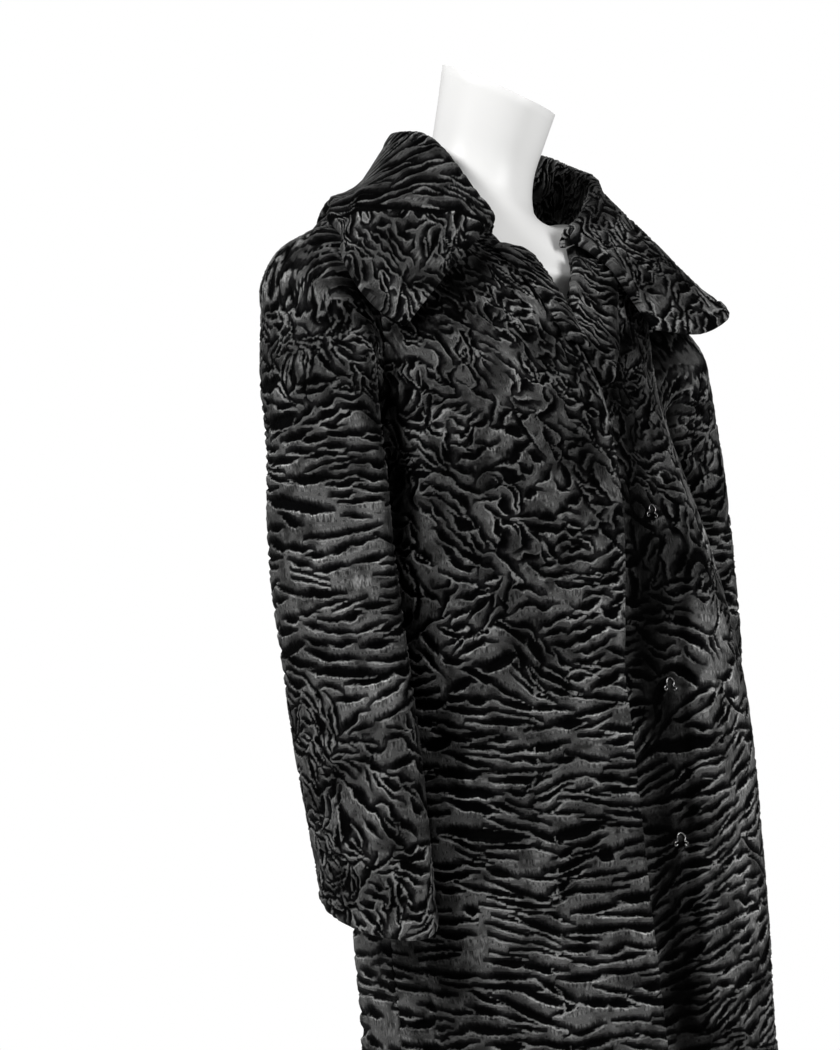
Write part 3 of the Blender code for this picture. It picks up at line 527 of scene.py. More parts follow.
# a closed fur wall: a curled face, rounded free edges, and a plain inner face
def shell(name, grid, fields, across, up, wall, look, closed=False, flip=False):
    normal = normalsOf(grid, closed) * (-1.0 if flip else 1.0)
    free, coarse, kept = look["free"], look.get("coarse", 3), edgeLook["kept"]
    curl, side = fields
    trough = creased(look, across, up)
    height = curlHeight(curl, side) + trough
    fromTop, fromLeft = runOf(grid, 0), runOf(grid, 1)
    sides = {"first": fromTop, "last": fromTop[-1:] - fromTop}
    if not closed:
        sides.update({"left": fromLeft, "right": fromLeft[:, -1:] - fromLeft})
    for end, distance in sides.items():
        if end in free:
            height = height * (kept + (1.0 - kept) * smoothStep(distance / edgeLook["sinkRun"]))
            raised = look["roll"] * smoothStep(distance / edgeLook["rollRise"])
            height = height + raised * np.exp(-((distance / edgeLook["rollRun"]) ** 2))
        else:
            height = height - edgeLook["seam"] * np.exp(-((distance / edgeLook["seamRun"]) ** 2))
    face = grid + normal * height[..., None]
    ends = ("first" in free, "last" in free)
    flanks = ("left" in free and not closed, "right" in free and not closed)
    ahead, behind, left, right = (edgeLook["steps"] * edge for edge in ends + flanks)
    full, normalFull = roundedOff(face, grid, normal, ends, wall, 0)
    if any(flanks):
        full, _ = roundedOff(full, extended(grid, ahead, behind, 0), normalFull, flanks, wall, 1)
    pick = lambda values: extended(extended(values, ahead, behind, 0), left, right, 1)
    rows, columns = full.shape[:2]
    rowPick = np.unique(np.append(np.arange(0, rows, coarse), rows - 1))
    columnPick = np.arange(0, columns, coarse)
    if not closed:
        columnPick = np.unique(np.append(columnPick, columns - 1))
    fromRow = np.clip(rowPick - ahead, 0, grid.shape[0] - 1)
    fromColumn = np.clip(columnPick - left, 0, grid.shape[1] - 1)
    inner = grid + normal * (trough - wall)[..., None]  # creases go through the wall
    inner = inner[np.ix_(fromRow, fromColumn)]
    index = np.arange(rows * columns).reshape(rows, columns)
    bare = inner.shape[0] * inner.shape[1]
    inside = rows * columns + np.arange(bare).reshape(inner.shape[:2])
    if closed:
        index, inside = extended(index, 0, 1, 1), extended(inside, 0, 1, 1)
        index[:, -1], inside[:, -1] = index[:, 0], inside[:, 0]
        columnPick = np.append(columnPick, columns)
    faces = quads(index, flip) + quads(inside, not flip)

    def rim(fine, plain, picks, turned):  # joins an edge of the face to the same edge inside
        fine, plain = fine.tolist(), plain.tolist()
        for k in range(len(plain) - 1):
            a, b = picks[k], picks[k + 1]
            middle = (a + b) // 2
            fan = [(fine[i], fine[i + 1], plain[k] if i < middle else plain[k + 1]) for i in range(a, b)]
            fan.append((fine[middle], plain[k + 1], plain[k]))
            faces.extend([f[::-1] if turned else f for f in fan])

    rim(index[0], inside[0], columnPick, not flip)
    rim(index[-1], inside[-1], columnPick, flip)
    if not closed:
        rim(index[:, 0], inside[:, 0], rowPick, flip)
        rim(index[:, -1], inside[:, -1], rowPick, not flip)
    points = np.concatenate([full.reshape(-1, 3), inner.reshape(-1, 3)])
    run = np.stack([across, up, side], axis=-1)
    return meshFrom(name, points.tolist(), faces, {
        # shade: painted shade and painted light, none on the inner face
        "shade": np.concatenate([pick(paintedShading(look, across, up)).ravel(), np.ones(bare)]),
        "curl": np.concatenate([pick(curl).ravel(), np.full(bare, pelt["plain"])]),
        "run": np.concatenate([pick(run).reshape(-1, 3), np.repeat(run[:1, 0], bare, 0)]),
    })


furLook = {
    # colours from a groove's floor to the flats: the near-black floor and the slope are painted shade in the
    # recess, over the fur's own dark tone
    "groove": (0.0008, 0.0008, 0.0009),
    "slope": (0.011, 0.011, 0.0112),
    "flat": (0.065, 0.065, 0.0643),
    "slopeAt": 0.45,
    "slow": ((-0.1, 2.1), (0.0, 1.0)),  # painted shade: a curl's colour falls slowly into the groove under it, on its side that faces down
    "quick": ((-0.10, 0.15), (0.0, 1.0)),  # and rises sharply out of the one above it
    "lip": 1.8,  # how much lighter a curl's upper edge is: a painted highlight where it faces the light from above
    "lipAt": 0.32,
    "ragged": 1.15,  # how far the nap roughens each curl's edge
    "stretch": (1.0, 0.28, 1.0),
    "hair": (420.0, 3.0, 0.6, 0.0),  # each noise: scale, detail, roughness, distortion
    "nap": (260.0, 4.0, 0.65, 0.0),
    "patch": (17.0, 2.0, 0.5, 0.0),
    "lay": (44.0, 2.0, 0.5, 0.6),
    "hairTone": ((0.36, 0.64), (0.34, 1.74)),
    "patchTone": ((0.35, 0.65), (0.70, 1.25)),
    "layTone": ((0.36, 0.58), (0.40, 1.15)),  # hair that lies away looks darker
    # patches where the painted lip highlight breaks off
    "lipBreaks": ((0.30, 0.62), (0.35, 1.0)),
    "above": ((-0.4, 0.4), (0.0, 1.0)),  # from under a groove to above it
    "under": ((0.1, -0.5), (0.0, 1.0)),
    "bump": {"Strength": 0.80, "Distance": 0.0008},
    "shader": {
        "Roughness": 0.55, "Specular IOR Level": 0.015, "Sheen Weight": 0.006, "Sheen Roughness": 0.35,
    },
}
lacquerLook = {
    "low": (0.742, 0.740, 0.731), "high": (0.768, 0.767, 0.760), "stops": (0.3, 0.7),
    "cloud": (9.0, 2.0, 0.5, 0.0), "ripple": (45.0, 1.0, 0.5, 0.0),
    "bump": {"Strength": 0.04, "Distance": 0.001},
    "shader": {"Roughness": 0.42, "Specular IOR Level": 0.30, "Coat Weight": 0.05, "Coat Roughness": 0.2},
}
metalLook = {  # steel of the stand, wire of the hooks and eyes
    "satinSteel": {
        "low": (0.42,) * 3, "high": (0.60,) * 3, "stops": (0.35, 0.65),
        "roughness": 0.32, "grain": (900.0, 3.0, 0.5, 0.0), "stretch": (1.0, 1.0, 0.02),
    },
    "blackWire": {
        "low": (0.13,) * 3, "high": (0.28,) * 3, "stops": (0.35, 0.65),
        "roughness": 0.20, "grain": (1500.0, 3.0, 0.5, 0.0), "stretch": (1.0, 1.0, 1.0),
    },
    "spread": (0.8, 1.25),  # least and most of the roughness
}
floorLook = {
    "low": (0.80,) * 3, "high": (0.84,) * 3, "stops": (0.3, 0.7),
    "cloud": (3.0, 2.0, 0.5, 0.0), "shader": {"Roughness": 0.6},
}


def makeMaterial(name):
    material = bpy.data.materials.new(name)
    material.use_nodes = True
    nodes = material.node_tree.nodes
    return material, nodes, material.node_tree.links.new, nodes["Principled BSDF"]


def put(nodes, kind, inputs=(), **options):
    node = nodes.new("ShaderNode" + kind)
    for key, value in options.items():
        setattr(node, key, value)
    for key, value in dict(inputs).items():
        node.inputs[key].default_value = value
    return node


def setRamp(node, stops):
    ramp, stops = node.color_ramp, list(stops)
    while len(ramp.elements) < len(stops):
        ramp.elements.new(0.5)
    for element, (at, colour) in zip(ramp.elements, stops):
        element.position = at
        element.color = (*colour, 1.0)


def setShader(shader, values):
    for key, value in values.items():
        shader.inputs[key].default_value = value


def eased(nodes, link, value, given, wanted):
    limits = dict(zip(("From Min", "From Max", "To Min", "To Max"), (*given, *wanted)))
    node = put(nodes, "MapRange", limits, interpolation_type="SMOOTHSTEP")
    link(value, node.inputs["Value"])
    return node.outputs["Result"]


def worked(nodes, link, operation, first, second=None, more=None):
    node = put(nodes, "Math", more or {}, operation=operation)
    link(first, node.inputs[0])
    if second is not None:
        link(second, node.inputs[1])
    return node.outputs[0]


def product(nodes, link, first, *others):
    for other in others:
        first = worked(nodes, link, "MULTIPLY", first, other)
    return first


def noiseOn(nodes, link, vector, look):
    node = put(nodes, "TexNoise", dict(zip(("Scale", "Detail", "Roughness", "Distortion"), look)))
    link(vector, node.inputs["Vector"])
    return node.outputs["Fac"]


def bumped(nodes, link, shader, height, look):
    bump = put(nodes, "Bump", look)
    link(height, bump.inputs["Height"])
    link(bump.outputs["Normal"], shader.inputs["Normal"])


def clouded(nodes, link, shader, cloud, look):  # a colour between two tones
    tone = put(nodes, "ValToRGB")
    setRamp(tone, zip(look["stops"], (look["low"], look["high"])))
    link(cloud, tone.inputs["Fac"])
    link(tone.outputs["Color"], shader.inputs["Base Color"])


def makeFur():
    material, nodes, link, shader = makeMaterial("broadtailFur")
    curl, run, shade = (put(nodes, "Attribute", attribute_name=name) for name in ("curl", "run", "shade"))
    place = put(nodes, "TexCoord").outputs["Object"]
    drawn = put(nodes, "Mapping", {"Scale": furLook["stretch"]})
    link(run.outputs["Vector"], drawn.inputs["Vector"])
    hair = noiseOn(nodes, link, drawn.outputs["Vector"], furLook["hair"])
    nap, patch, lay = (noiseOn(nodes, link, place, furLook[name]) for name in ("nap", "patch", "lay"))

    roughened = {1: furLook["ragged"], 2: -furLook["ragged"] / 2}
    rough = worked(nodes, link, "MULTIPLY_ADD", nap, more=roughened)
    edge = worked(nodes, link, "ADD", curl.outputs["Fac"], rough)
    parts = put(nodes, "SeparateXYZ")
    link(run.outputs["Vector"], parts.inputs["Vector"])
    side = parts.outputs["Z"]
    mixed = put(nodes, "Mix", data_type="FLOAT")
    link(eased(nodes, link, side, *furLook["above"]), mixed.inputs["Factor"])
    link(eased(nodes, link, edge, *furLook["quick"]), mixed.inputs["A"])
    link(eased(nodes, link, edge, *furLook["slow"]), mixed.inputs["B"])
    # painted shade: near black in the grooves, fading slowly on a curl's side that faces down, sharply on its
    # upper side
    tone = put(nodes, "ValToRGB")
    setRamp(tone, zip((0.0, furLook["slopeAt"], 1.0), (furLook["groove"], furLook["slope"], furLook["flat"])))
    link(mixed.outputs["Result"], tone.inputs["Fac"])

    # a painted highlight in a thin band along each curl's upper edge, under a groove
    fromLip = worked(nodes, link, "ADD", edge, more={1: -furLook["lipAt"]})
    fromLip = worked(nodes, link, "ABSOLUTE", fromLip)
    band = eased(nodes, link, fromLip, (furLook["lipAt"], 0.0), (0.0, 1.0))
    under = eased(nodes, link, side, *furLook["under"])
    lip = product(nodes, link, band, under, eased(nodes, link, patch, *furLook["lipBreaks"]))
    paintedLipHighlight = worked(nodes, link, "MULTIPLY_ADD", lip, more={1: furLook["lip"], 2: 1.0})
    tones = [eased(nodes, link, value, *furLook[name]) for value, name in (
        (patch, "patchTone"), (lay, "layTone"), (hair, "hairTone"),
    )]
    # the colour is scaled by random tones, by the painted shade and light of the shade attribute and by the
    # painted lip highlight
    colour = put(nodes, "VectorMath", operation="SCALE")
    link(tone.outputs["Color"], colour.inputs[0])
    link(product(nodes, link, *tones, shade.outputs["Fac"], paintedLipHighlight), colour.inputs["Scale"])
    link(colour.outputs["Vector"], shader.inputs["Base Color"])
    bumped(nodes, link, shader, worked(nodes, link, "ADD", hair, nap), furLook["bump"])
    setShader(shader, furLook["shader"])
    return material


def makeCoating(name, look):
    material, nodes, link, shader = makeMaterial(name)
    place = put(nodes, "TexCoord").outputs["Object"]
    clouded(nodes, link, shader, noiseOn(nodes, link, place, look["cloud"]), look)
    if "bump" in look:
        bumped(nodes, link, shader, noiseOn(nodes, link, place, look["ripple"]), look["bump"])
    setShader(shader, look["shader"])
    return material


def makeMetal(name):
    look = metalLook[name]
    material, nodes, link, shader = makeMaterial(name)
    drawn = put(nodes, "Mapping", {"Scale": look["stretch"]})
    link(put(nodes, "TexCoord").outputs["Object"], drawn.inputs["Vector"])
    grain = noiseOn(nodes, link, drawn.outputs["Vector"], look["grain"])
    clouded(nodes, link, shader, grain, look)
    low, high = (look["roughness"] * share for share in metalLook["spread"])
    gloss = put(nodes, "MapRange", {"To Min": low, "To Max": high})
    link(grain, gloss.inputs["Value"])
    link(gloss.outputs["Result"], shader.inputs["Roughness"])
    setShader(shader, {"Metallic": 1.0})
    return material


furMaterial = makeFur()
lacquerMaterial = makeCoating("whiteLacquer", lacquerLook)
steelMaterial = makeMetal("satinSteel")
wireMaterial = makeMetal("blackWire")
print("stage: materials")

# A pelt's spacing is the metres between two points of its mesh, its middle the angle of the line that
# spaces its rows, its free edges are the ones that aren't sewn, its cut and area those of the flat pelt,
# and its roll the swelling along a free edge. The tables' places are across from the pelt's side or free
# front edge, and up from its hem, in millimetres: lengthColumns says what their columns are.
bodyPelts = {
    "front_right": {
        "seed": 11, "spacing": 0.00205, "middle": -40.0, "free": ("first", "right"),
        "cut": (0.326, 1.12), "area": 0.27, "roll": 0.0026,
        "bands": (
            (0, 13, 40, 4.7, 2, 0.1, 3, 0.85), (560, 12.5, 38, 4.6, 2, 0.14, 3, 0.85),
            (620, 12, 20, 5.6, 10, 0.8, 30, 0.95), (800, 11.5, 17, 5.8, 15, 1.2, 45, 0.9),
            (900, 9, 13, 4.2, 0, 1.4, 60, 1), (980, 7, 11, 3.2, 0, 1.5, 60, 1),
        ),
        "spines": ((92, 610, 35, 26, 12, 0.35),),
        "patches": (
            (180, 517, 24, 60, -1.1), (108, 596, 40, 26, 1.2), (173, 333, 34, 42, -0.9),
            (70, 402, 30, 40, 0.9), (34, 444, 22, 24, -0.8), (35, 361, 24, 20, -0.8),
            (32, 795, 22, 28, 1.3), (58, 694, 20, 22, 1.1), (86, 885, 30, 32, -0.7),
            (190, 656, 18, 45, -0.8), (130, 700, 22, 20, 0.8), (150, 860, 26, 30, -0.5),
        ),
        "swirls": ((175, 730, 30, 50, 42), (40, 650, 40, 50, -24), (140, 800, 24, 30, -50)),
        "marks": (
            (192, 555, 34, 8.5, -6, 3), (186, 520, 28, 10.5, -14, 0), (160, 478, 46, 8, 3, 2),
            (150, 440, 72, 11, 2, 1.5), (105, 812, 11, 9, 0, 0), (88, 790, 10, 8, 30, 0),
            (112, 772, 12, 9.5, 0, 0), (92, 758, 13, 8.5, -20, 0), (80, 735, 10, 8, 10, 0),
            (118, 742, 12, 8, 60, 0), (170, 372, 10, 7.5, 0, 0), (40, 425, 16, 11, -12, 0),
        ),
        # painted shade and painted light: darker beside the sleeve and below the collar, darker or lighter
        # with the denser and barer patches, which is partly the hair's own tone
        "shades": (
            (206, 380, 12, 120, 0.6), (150, 895, 34, 16, 0.6), (110, 925, 30, 14, 0.6),
            (190, 656, 18, 45, -0.35), (180, 517, 26, 60, -0.3), (34, 444, 22, 24, -0.35),
            (173, 333, 34, 42, -0.3), (86, 885, 30, 30, -0.35), (108, 596, 38, 22, 0.5),
            (35, 361, 24, 20, -0.3), (30, 620, 26, 60, -0.25), (70, 402, 26, 34, 0.4),
            (32, 795, 22, 28, 0.75), (58, 694, 22, 24, 0.65), (130, 700, 24, 22, 0.5),
            (150, 780, 20, 26, 0.55), (80, 830, 20, 18, 0.55), (90, 630, 30, 20, 0.45),
            (240, 200, 20, 100, 0.4),
        ),
        # painted shadows as lines: under the collar wing's edge, in the gap beside the sleeve, under the
        # lapel's edge and one on the chest; the lighter line along the front edge is a painted highlight on
        # its roll
        "lines": (
            (196, 896, 150, 917, 13, 0.9), (150, 917, 104, 946, 14, 0.92),
            (104, 946, 62, 975, 12, 0.9), (62, 975, 46, 990, 9, 0.85), (214, 870, 222, 760, 14, 0.85),
            (222, 760, 222, 560, 14, 0.88), (222, 560, 214, 440, 12, 0.85), (50, 930, 12, 880, 6, 0.6),
            (6.5, 860, 6.5, 20, 3.5, -0.3), (70, 620, 98, 600, 10, 0.4),
        ),
        "creases": (
            (196, 700, 150, 560, 12, 2.2), (120, 900, 60, 780, 14, 1.8), (105, 640, 85, 480, 10, 1.4),
            (50, 300, 58, 60, 16, 2.2), (150, 260, 160, 40, 18, -2), (210, 640, 215, 300, 9, 3),
            (30, 720, 34, 560, 12, -1.4),
        ),
    },
    "front_left": {
        "seed": 23, "spacing": 0.0023, "middle": 40.0, "free": ("first", "left"), "cut": (0.376, 1.11),
        "area": 0.304, "roll": 0.002,
        "bands": (
            (0, 11.5, 34, 4.6, 14, 0.16, 4, 0.9), (500, 12, 32, 4.8, 14, 0.2, 4, 0.85),
            (600, 13, 22, 6, 10, 0.6, 20, 0.75), (780, 11.5, 18, 5.4, 30, 1.1, 45, 0.95),
            (920, 8.5, 13, 3.8, 0, 1.4, 60, 1), (1200, 7.5, 12, 3.4, 0, 1.5, 60, 1),
        ),
        "patches": (
            (165, 690, 18, 40, 1.2), (172, 597, 30, 44, -1.2), (90, 640, 30, 130, 1),
            (80, 440, 24, 80, 0.7), (160, 480, 26, 30, -0.4),
        ),
        "swirls": ((120, 800, 34, 40, 24), (150, 440, 40, 60, 24)),
        # painted shade and painted light: lighter on the plateaus right of the fold, where light falls,
        # darker under the far collar wing and in a dense patch, partly the hair's own tone
        "shades": (
            (165, 690, 18, 36, 0.6), (195, 640, 44, 180, -0.45), (80, 520, 16, 30, -0.6),
            (178, 597, 34, 50, -0.8), (200, 400, 50, 140, -0.55), (95, 910, 40, 14, 0.9),
            (190, 730, 30, 30, -0.5), (140, 820, 40, 40, -0.35),
        ),
        # painted shadows as lines: the strip beside the right front's edge, the fold, beside the lapel and
        # under the far collar wing
        "lines": (
            (86, 850, 92, 300, 31, 0.93), (108, 700, 112, 540, 22, 0.72), (92, 300, 84, 20, 24, 0.88),
            (80, 965, 70, 850, 11, 0.9), (146, 740, 118, 430, 5, 0.75), (118, 430, 110, 200, 4, 0.5),
            (100, 930, 130, 905, 12, 0.8),
        ),
        "creases": (
            (152, 730, 106, 340, 9, 4.2), (176, 700, 150, 460, 16, -3), (200, 520, 190, 200, 14, 3),
            (100, 280, 110, 50, 18, 2.4), (235, 640, 245, 420, 12, 2.6),
        ),
    },
    "back": {
        "seed": 37, "spacing": 0.0033, "middle": 180.0, "free": ("first",), "cut": (0.724, 1.15),
        "area": 0.589, "roll": 0.002,
        "bands": (
            (0, 15, 36, 6.5, 0, 0.12, 3, 0.75), (580, 14.5, 34, 6.5, 0, 0.16, 3, 0.75),
            (660, 13, 22, 6.2, 0, 0.8, 25, 0.9), (900, 13, 20, 6.2, 0, 0.9, 35, 0.95),
            (1200, 11, 16, 5, 0, 1.3, 50, 1),
        ),
        "spines": ((130, 700, 40, 22, 16, 0.3), (370, 700, 40, 16, 22, 0.3)),
        "patches": (
            (190, 480, 30, 60, -0.9), (300, 360, 34, 50, -0.9), (110, 700, 40, 30, 1),
            (360, 640, 36, 36, 0.9), (240, 880, 34, 30, 0.8),
        ),
        "creases": (
            (60, 700, 110, 520, 14, 4.6), (420, 720, 380, 560, 12, 4.2), (180, 960, 150, 840, 16, 3.6),
            (330, 980, 360, 860, 13, 2.8), (250, 560, 256, 160, 20, 4.8),
            (140, 420, 120, 80, 22, -2.6), (390, 380, 400, 60, 18, 4), (40, 300, 50, 50, 12, 3),
        ),
    },
}


def panelAngles(name, place):
    ring = ringAt(place)
    seam = seamAngle(ring)
    if name == "back":
        start = sideAngle(place, "back") + seam
        return start, 360.0 - start
    sewn, right = sideAngle(place, "front"), name == "front_right"
    edge = angleOf(ring, readTable(edgeTable, "ring", place, "rightFront" if right else "leftFront"))
    return (seam - sewn, edge) if right else (edge, sewn - seam)


def makePanel(name, look):
    pointAt = leftFrontPoint if name == "front_left" else coatPoint
    places, up = evenPlaces(lambda p: pointAt(p, look["middle"]), 0.0, figure["neckRing"], look["spacing"])
    start, end = panelAngles(name, places)
    hem = pointAt(0.0, start[0] + (end[0] - start[0]) * np.linspace(0.0, 1.0, figure["hemSteps"]))
    share = np.linspace(0.0, 1.0, int(runOf(hem, 0)[-1] / look["spacing"]) + 1)
    grid = pointAt(places[:, None], start[:, None] + (end - start)[:, None] * share)
    across = runOf(grid, 1)
    if name == "front_right":
        across = across[:, -1:] - across
    up = np.repeat(up[:, None], len(share), 1)
    fields = pelted(look, across, up)
    return shell(name + "_fur", grid, fields, across, up, figure["wall"], look), grid


pieces, grids = {}, {}


def makeEach(looks, make):
    for name, look in looks.items():
        pieces[name], grids[name] = make(name, look)
        print("stage:", name, len(pieces[name].data.polygons))


makeEach(bodyPelts, makePanel)


def treeOf(grid, step, closed=False):
    grid = grid[::step, ::step]
    rows, columns = grid.shape[:2]
    index = np.arange(rows * columns).reshape(rows, columns)
    if closed:
        index = np.concatenate([index, index[:, :1]], axis=1)
    return BVHTree.FromPolygons(grid.reshape(-1, 3).tolist(), quads(index))


def clearOf(point, trees, gap):  # a point moved out to at least this gap from each surface
    point = Vector(point)
    for _ in range(figure["clearRounds"]):
        for tree in trees:
            spot, normal, _, _ = tree.find_nearest(point)
            above = (point - spot).dot(normal)
            if above < gap and (point - spot).length < figure["clearReach"]:
                point = point + normal * (gap - above)
    return point


# evens out a sheet from one column on, clear of the surfaces under it
def relaxed(grid, first, trees, gap, rounds):
    for _ in range(rounds):
        before = grid.copy()
        last = len(before) - 1
        for i in range(last + 1):
            for k in range(first, before.shape[1] - 1):
                near = [before[i, k - 1], before[i, k + 1]]
                if 0 < i < last:
                    near += [before[i - 1, k], before[i + 1, k]]
                grid[i, k] = clearOf((before[i, k] + sum(near) / len(near)) / 2, trees, gap)
    return grid


panelTrees = {name: treeOf(grids[name], figure["treeStep"]) for name in bodyPelts}

sleeveColumns = ("z", "x", "y", "long", "flat", "dip", "turn", "lean")
sleevePelts = {
    "sleeve_right": {
        "side": -1.0, "front": "front_right", "seed": 53, "spacing": 0.0018, "cut": (0.5, 0.686),
        "area": 0.219, "roll": 0.0016, "free": ("last",),
        "rows": (
            (1262, -186, -8, 71, 46, 0, 6, 24), (1205, -194, -24, 70, 44, 0, 10, 10),
            (1149, -196, -41, 69, 41, 0, 14, 4), (1048, -201, -64, 74, 41, 0, 15, -2),
            (938, -193, -81, 73, 40, 0, 16, -4), (876, -188, -90, 72, 40, 4, 17, -4),
            (806, -181, -98, 68, 39, 12, 18, -8), (731, -173, -104, 65, 35, 20, 18, -16),
        ),
        "bands": (
            (0, 9.5, 15, 4.5, 0, 1.1, 45, 1), (180, 11, 18, 5, 0, 0.9, 40, 0.95),
            (250, 16, 34, 5, -3, 0.18, 4, 0.7), (360, 16, 38, 5.2, -4, 0.16, 4, 0.75),
            (460, 11, 30, 4.8, -8, 0.2, 6, 0.95), (510, 8.5, 13, 3.6, 0, 1.1, 50, 1),
            (750, 6.8, 10, 3, 0, 1.5, 60, 1),
        ),
        "patches": (
            (140, 330, 50, 30, -0.7), (150, 260, 50, 14, 0.8), (130, 215, 30, 30, -0.7),
            (190, 330, 20, 120, 0.9), (110, 120, 30, 20, -0.5), (160, 440, 60, 20, 0.5),
        ),
        "swirls": ((110, 110, 40, 40, 38), (185, 180, 24, 50, 80), (140, 235, 40, 18, 8)),
        # painted shade and painted light: lighter where light falls on the sleeve, darker on its side turned
        # from the light and under the collar
        "shades": (
            (140, 330, 60, 60, -0.6), (130, 215, 34, 26, -0.45), (150, 460, 60, 60, -0.25),
            (215, 300, 16, 300, 0.35), (150, 255, 50, 12, 0.4), (105, 590, 20, 14, 0.75),
            (80, 350, 10, 260, 0.4), (130, 430, 50, 24, 0.25), (110, 120, 26, 26, -0.25),
        ),
        # painted shadows as lines: under the collar wing's edge, and a long one down the sleeve
        "lines": (
            (186, 590, 140, 575, 5, 0.7), (140, 575, 108, 584, 7, 0.85), (78, 520, 70, 20, 10, 0.55),
        ),
        "marks": (
            (152, 128, 36, 3.4, 42, 2), (140, 114, 42, 4, 44, 3), (128, 102, 40, 3.4, 46, 3),
            (117, 90, 34, 3.8, 48, 4), (150, 236, 60, 7, 4, 2), (165, 250, 34, 5, 10, 4),
        ),
        "creases": (
            (190, 262, 90, 250, 7, 3.2), (170, 226, 85, 214, 5, 2.6), (150, 300, 80, 296, 6, 2),
            (130, 360, 75, 352, 8, 1.8), (185, 190, 130, 150, 10, 2.8), (150, 130, 90, 80, 9, 3),
            (160, 70, 110, 50, 10, -2.2), (20, 270, 60, 220, 8, 2.4), (10, 360, 50, 330, 7, 1.8),
            (120, 520, 150, 440, 12, 1.8),
        ),
    },
    "sleeve_left": {
        "side": 1.0, "front": "front_left", "seed": 71, "spacing": 0.0028, "cut": (0.5, 0.697),
        "area": 0.227, "roll": 0.0016, "free": ("last",),
        "rows": (
            (1205, 190, 6, 72, 44, 0, 4, -26), (1150, 207, 16, 72, 43, 0, 0, -14),
            (1095, 221, 28, 71, 42, 0, -8, -8), (1000, 240, 46, 71, 41, 0, -16, -6),
            (890, 252, 56, 70, 40, 0, -22, -4), (820, 256, 58, 68, 40, 2, -24, -2),
            (742, 258, 52, 66, 39, 6, -24, 0), (660, 260, 44, 65, 36, 12, -24, 0),
        ),
        "bands": (
            (0, 10, 16, 4.5, 0, 1.1, 45, 1), (220, 13, 28, 5.2, 0, 0.4, 8, 0.8),
            (450, 12, 28, 5, 8, 0.25, 8, 0.9), (510, 9.5, 14, 4, 0, 1.1, 50, 1),
            (750, 9.5, 13, 4, 0, 1.5, 60, 1),
        ),
        # painted shade and painted light: a shadow under the far collar wing, one lighter and one darker
        # place
        "shades": ((165, 617, 60, 20, 0.92), (80, 400, 30, 60, -0.3), (60, 540, 14, 60, 0.5)),
        "creases": (
            (30, 300, 110, 290, 8, 3), (50, 262, 130, 240, 6, 2.4), (150, 330, 210, 350, 9, 2.2),
            (60, 180, 110, 140, 10, 2.6), (120, 100, 70, 70, 12, -2), (80, 470, 100, 380, 12, 2),
        ),
    },
}
sleeveHead = {  # how a sleeve leaves its armhole
    "places": (8.0, 8.25, 8.5, 9.0, 9.5, 10.0, 10.5, 11.0, 11.4, 11.7, 11.9, 12.0),
    "steps": ((0.12, 0.010), (0.35, 0.020), (0.68, 0.016)),  # share of the way down, and swelling
    "gap": 0.001,
    "bodyClear": 0.005,
    "sections": 13,
    "raised": 0.3, "highRun": 0.10,  # the swelling is at the top, and leans up
    "evenAt": 9,  # the section whose girth spaces the columns
    "join": 0.012,  # where the pelt's two sides blend inside the arm
    "spare": 0.01,
    "wrap": 2,  # columns repeated at each side for the curve round the arm
}


# the armhole's edge and its outward directions, up the front and down the back
def armholeLoop(side, front):
    places = np.array(sleeveHead["places"])
    gap = seamAngle(ringAt(places))
    pointAt = leftFrontPoint if front == "front_left" else coatPoint
    ahead = liftedPoint(pointAt, places, side * (sideAngle(places, "front") - gap), 0.0)
    behind = liftedPoint(coatPoint, places, side * (sideAngle(places, "back") + gap), 0.0)
    halves = []
    for a, b in zip(ahead, behind):
        a, b = a.copy(), b.copy()
        a[[0, -1]] = (a[[0, -1]] + b[[0, -1]]) / 2
        halves.append(np.concatenate([a, b[-2:0:-1]]))
    return halves[0], unit(halves[1])


def sleeveSection(look, place, shares):
    columns = zip(*tableOf(look, "rows"))
    row = {name: splineAt(values, place) for name, values in zip(sleeveColumns, columns)}
    turn, lean = math.radians(row["turn"]), math.radians(row["lean"])
    inward, ahead = np.cos(shares * 2 * math.pi) * row["flat"], np.sin(shares * 2 * math.pi)
    x = -look["side"] * (inward * math.cos(turn) + ahead * row["long"] * math.sin(turn))
    y = inward * math.sin(turn) - ahead * row["long"] * math.cos(turn)
    z = -x * math.sin(lean) - row["dip"] * ahead
    place = np.array((row["x"] + figure["centre"][0], row["y"] + figure["centre"][1], row["z"]))
    return np.stack([x, y, z], axis=1) + place


def sleeveControl(look):
    side = look["side"]
    trees = list(panelTrees.values())
    loop, facing = armholeLoop(side, look["front"])
    middle = loop.mean(axis=0)
    inward = middle - loop
    inward = unit(inward - facing * np.sum(inward * facing, axis=1, keepdims=True))
    start = loop + inward * sleeveHead["gap"]
    seam, mouth = start - facing * figure["wall"], start + facing * figure["restGap"]
    steps = np.linalg.norm(np.roll(mouth, -1, 0) - mouth, axis=1)
    shares = np.concatenate([[0.0], np.cumsum(steps)[:-1]]) / steps.sum()
    first = sleeveSection(look, 0.0, shares)
    control = [seam, mouth]
    high = smoothStep((mouth[:, 2:] - middle[2]) / sleeveHead["highRun"] + 0.5)
    for part, swell in sleeveHead["steps"]:
        swollen = np.array((side, 0.0, sleeveHead["raised"])) * swell * high
        control.append(mouth * (1 - part) + first * part + swollen)
    last = len(look["rows"]) - 1
    for i in range(sleeveHead["sections"] + 1):
        control.append(sleeveSection(look, last * i / sleeveHead["sections"], shares))
    for k in range(2, len(control)):
        control[k] = np.array([clearOf(p, trees, sleeveHead["bodyClear"]) for p in control[k]])
    return np.array(control)


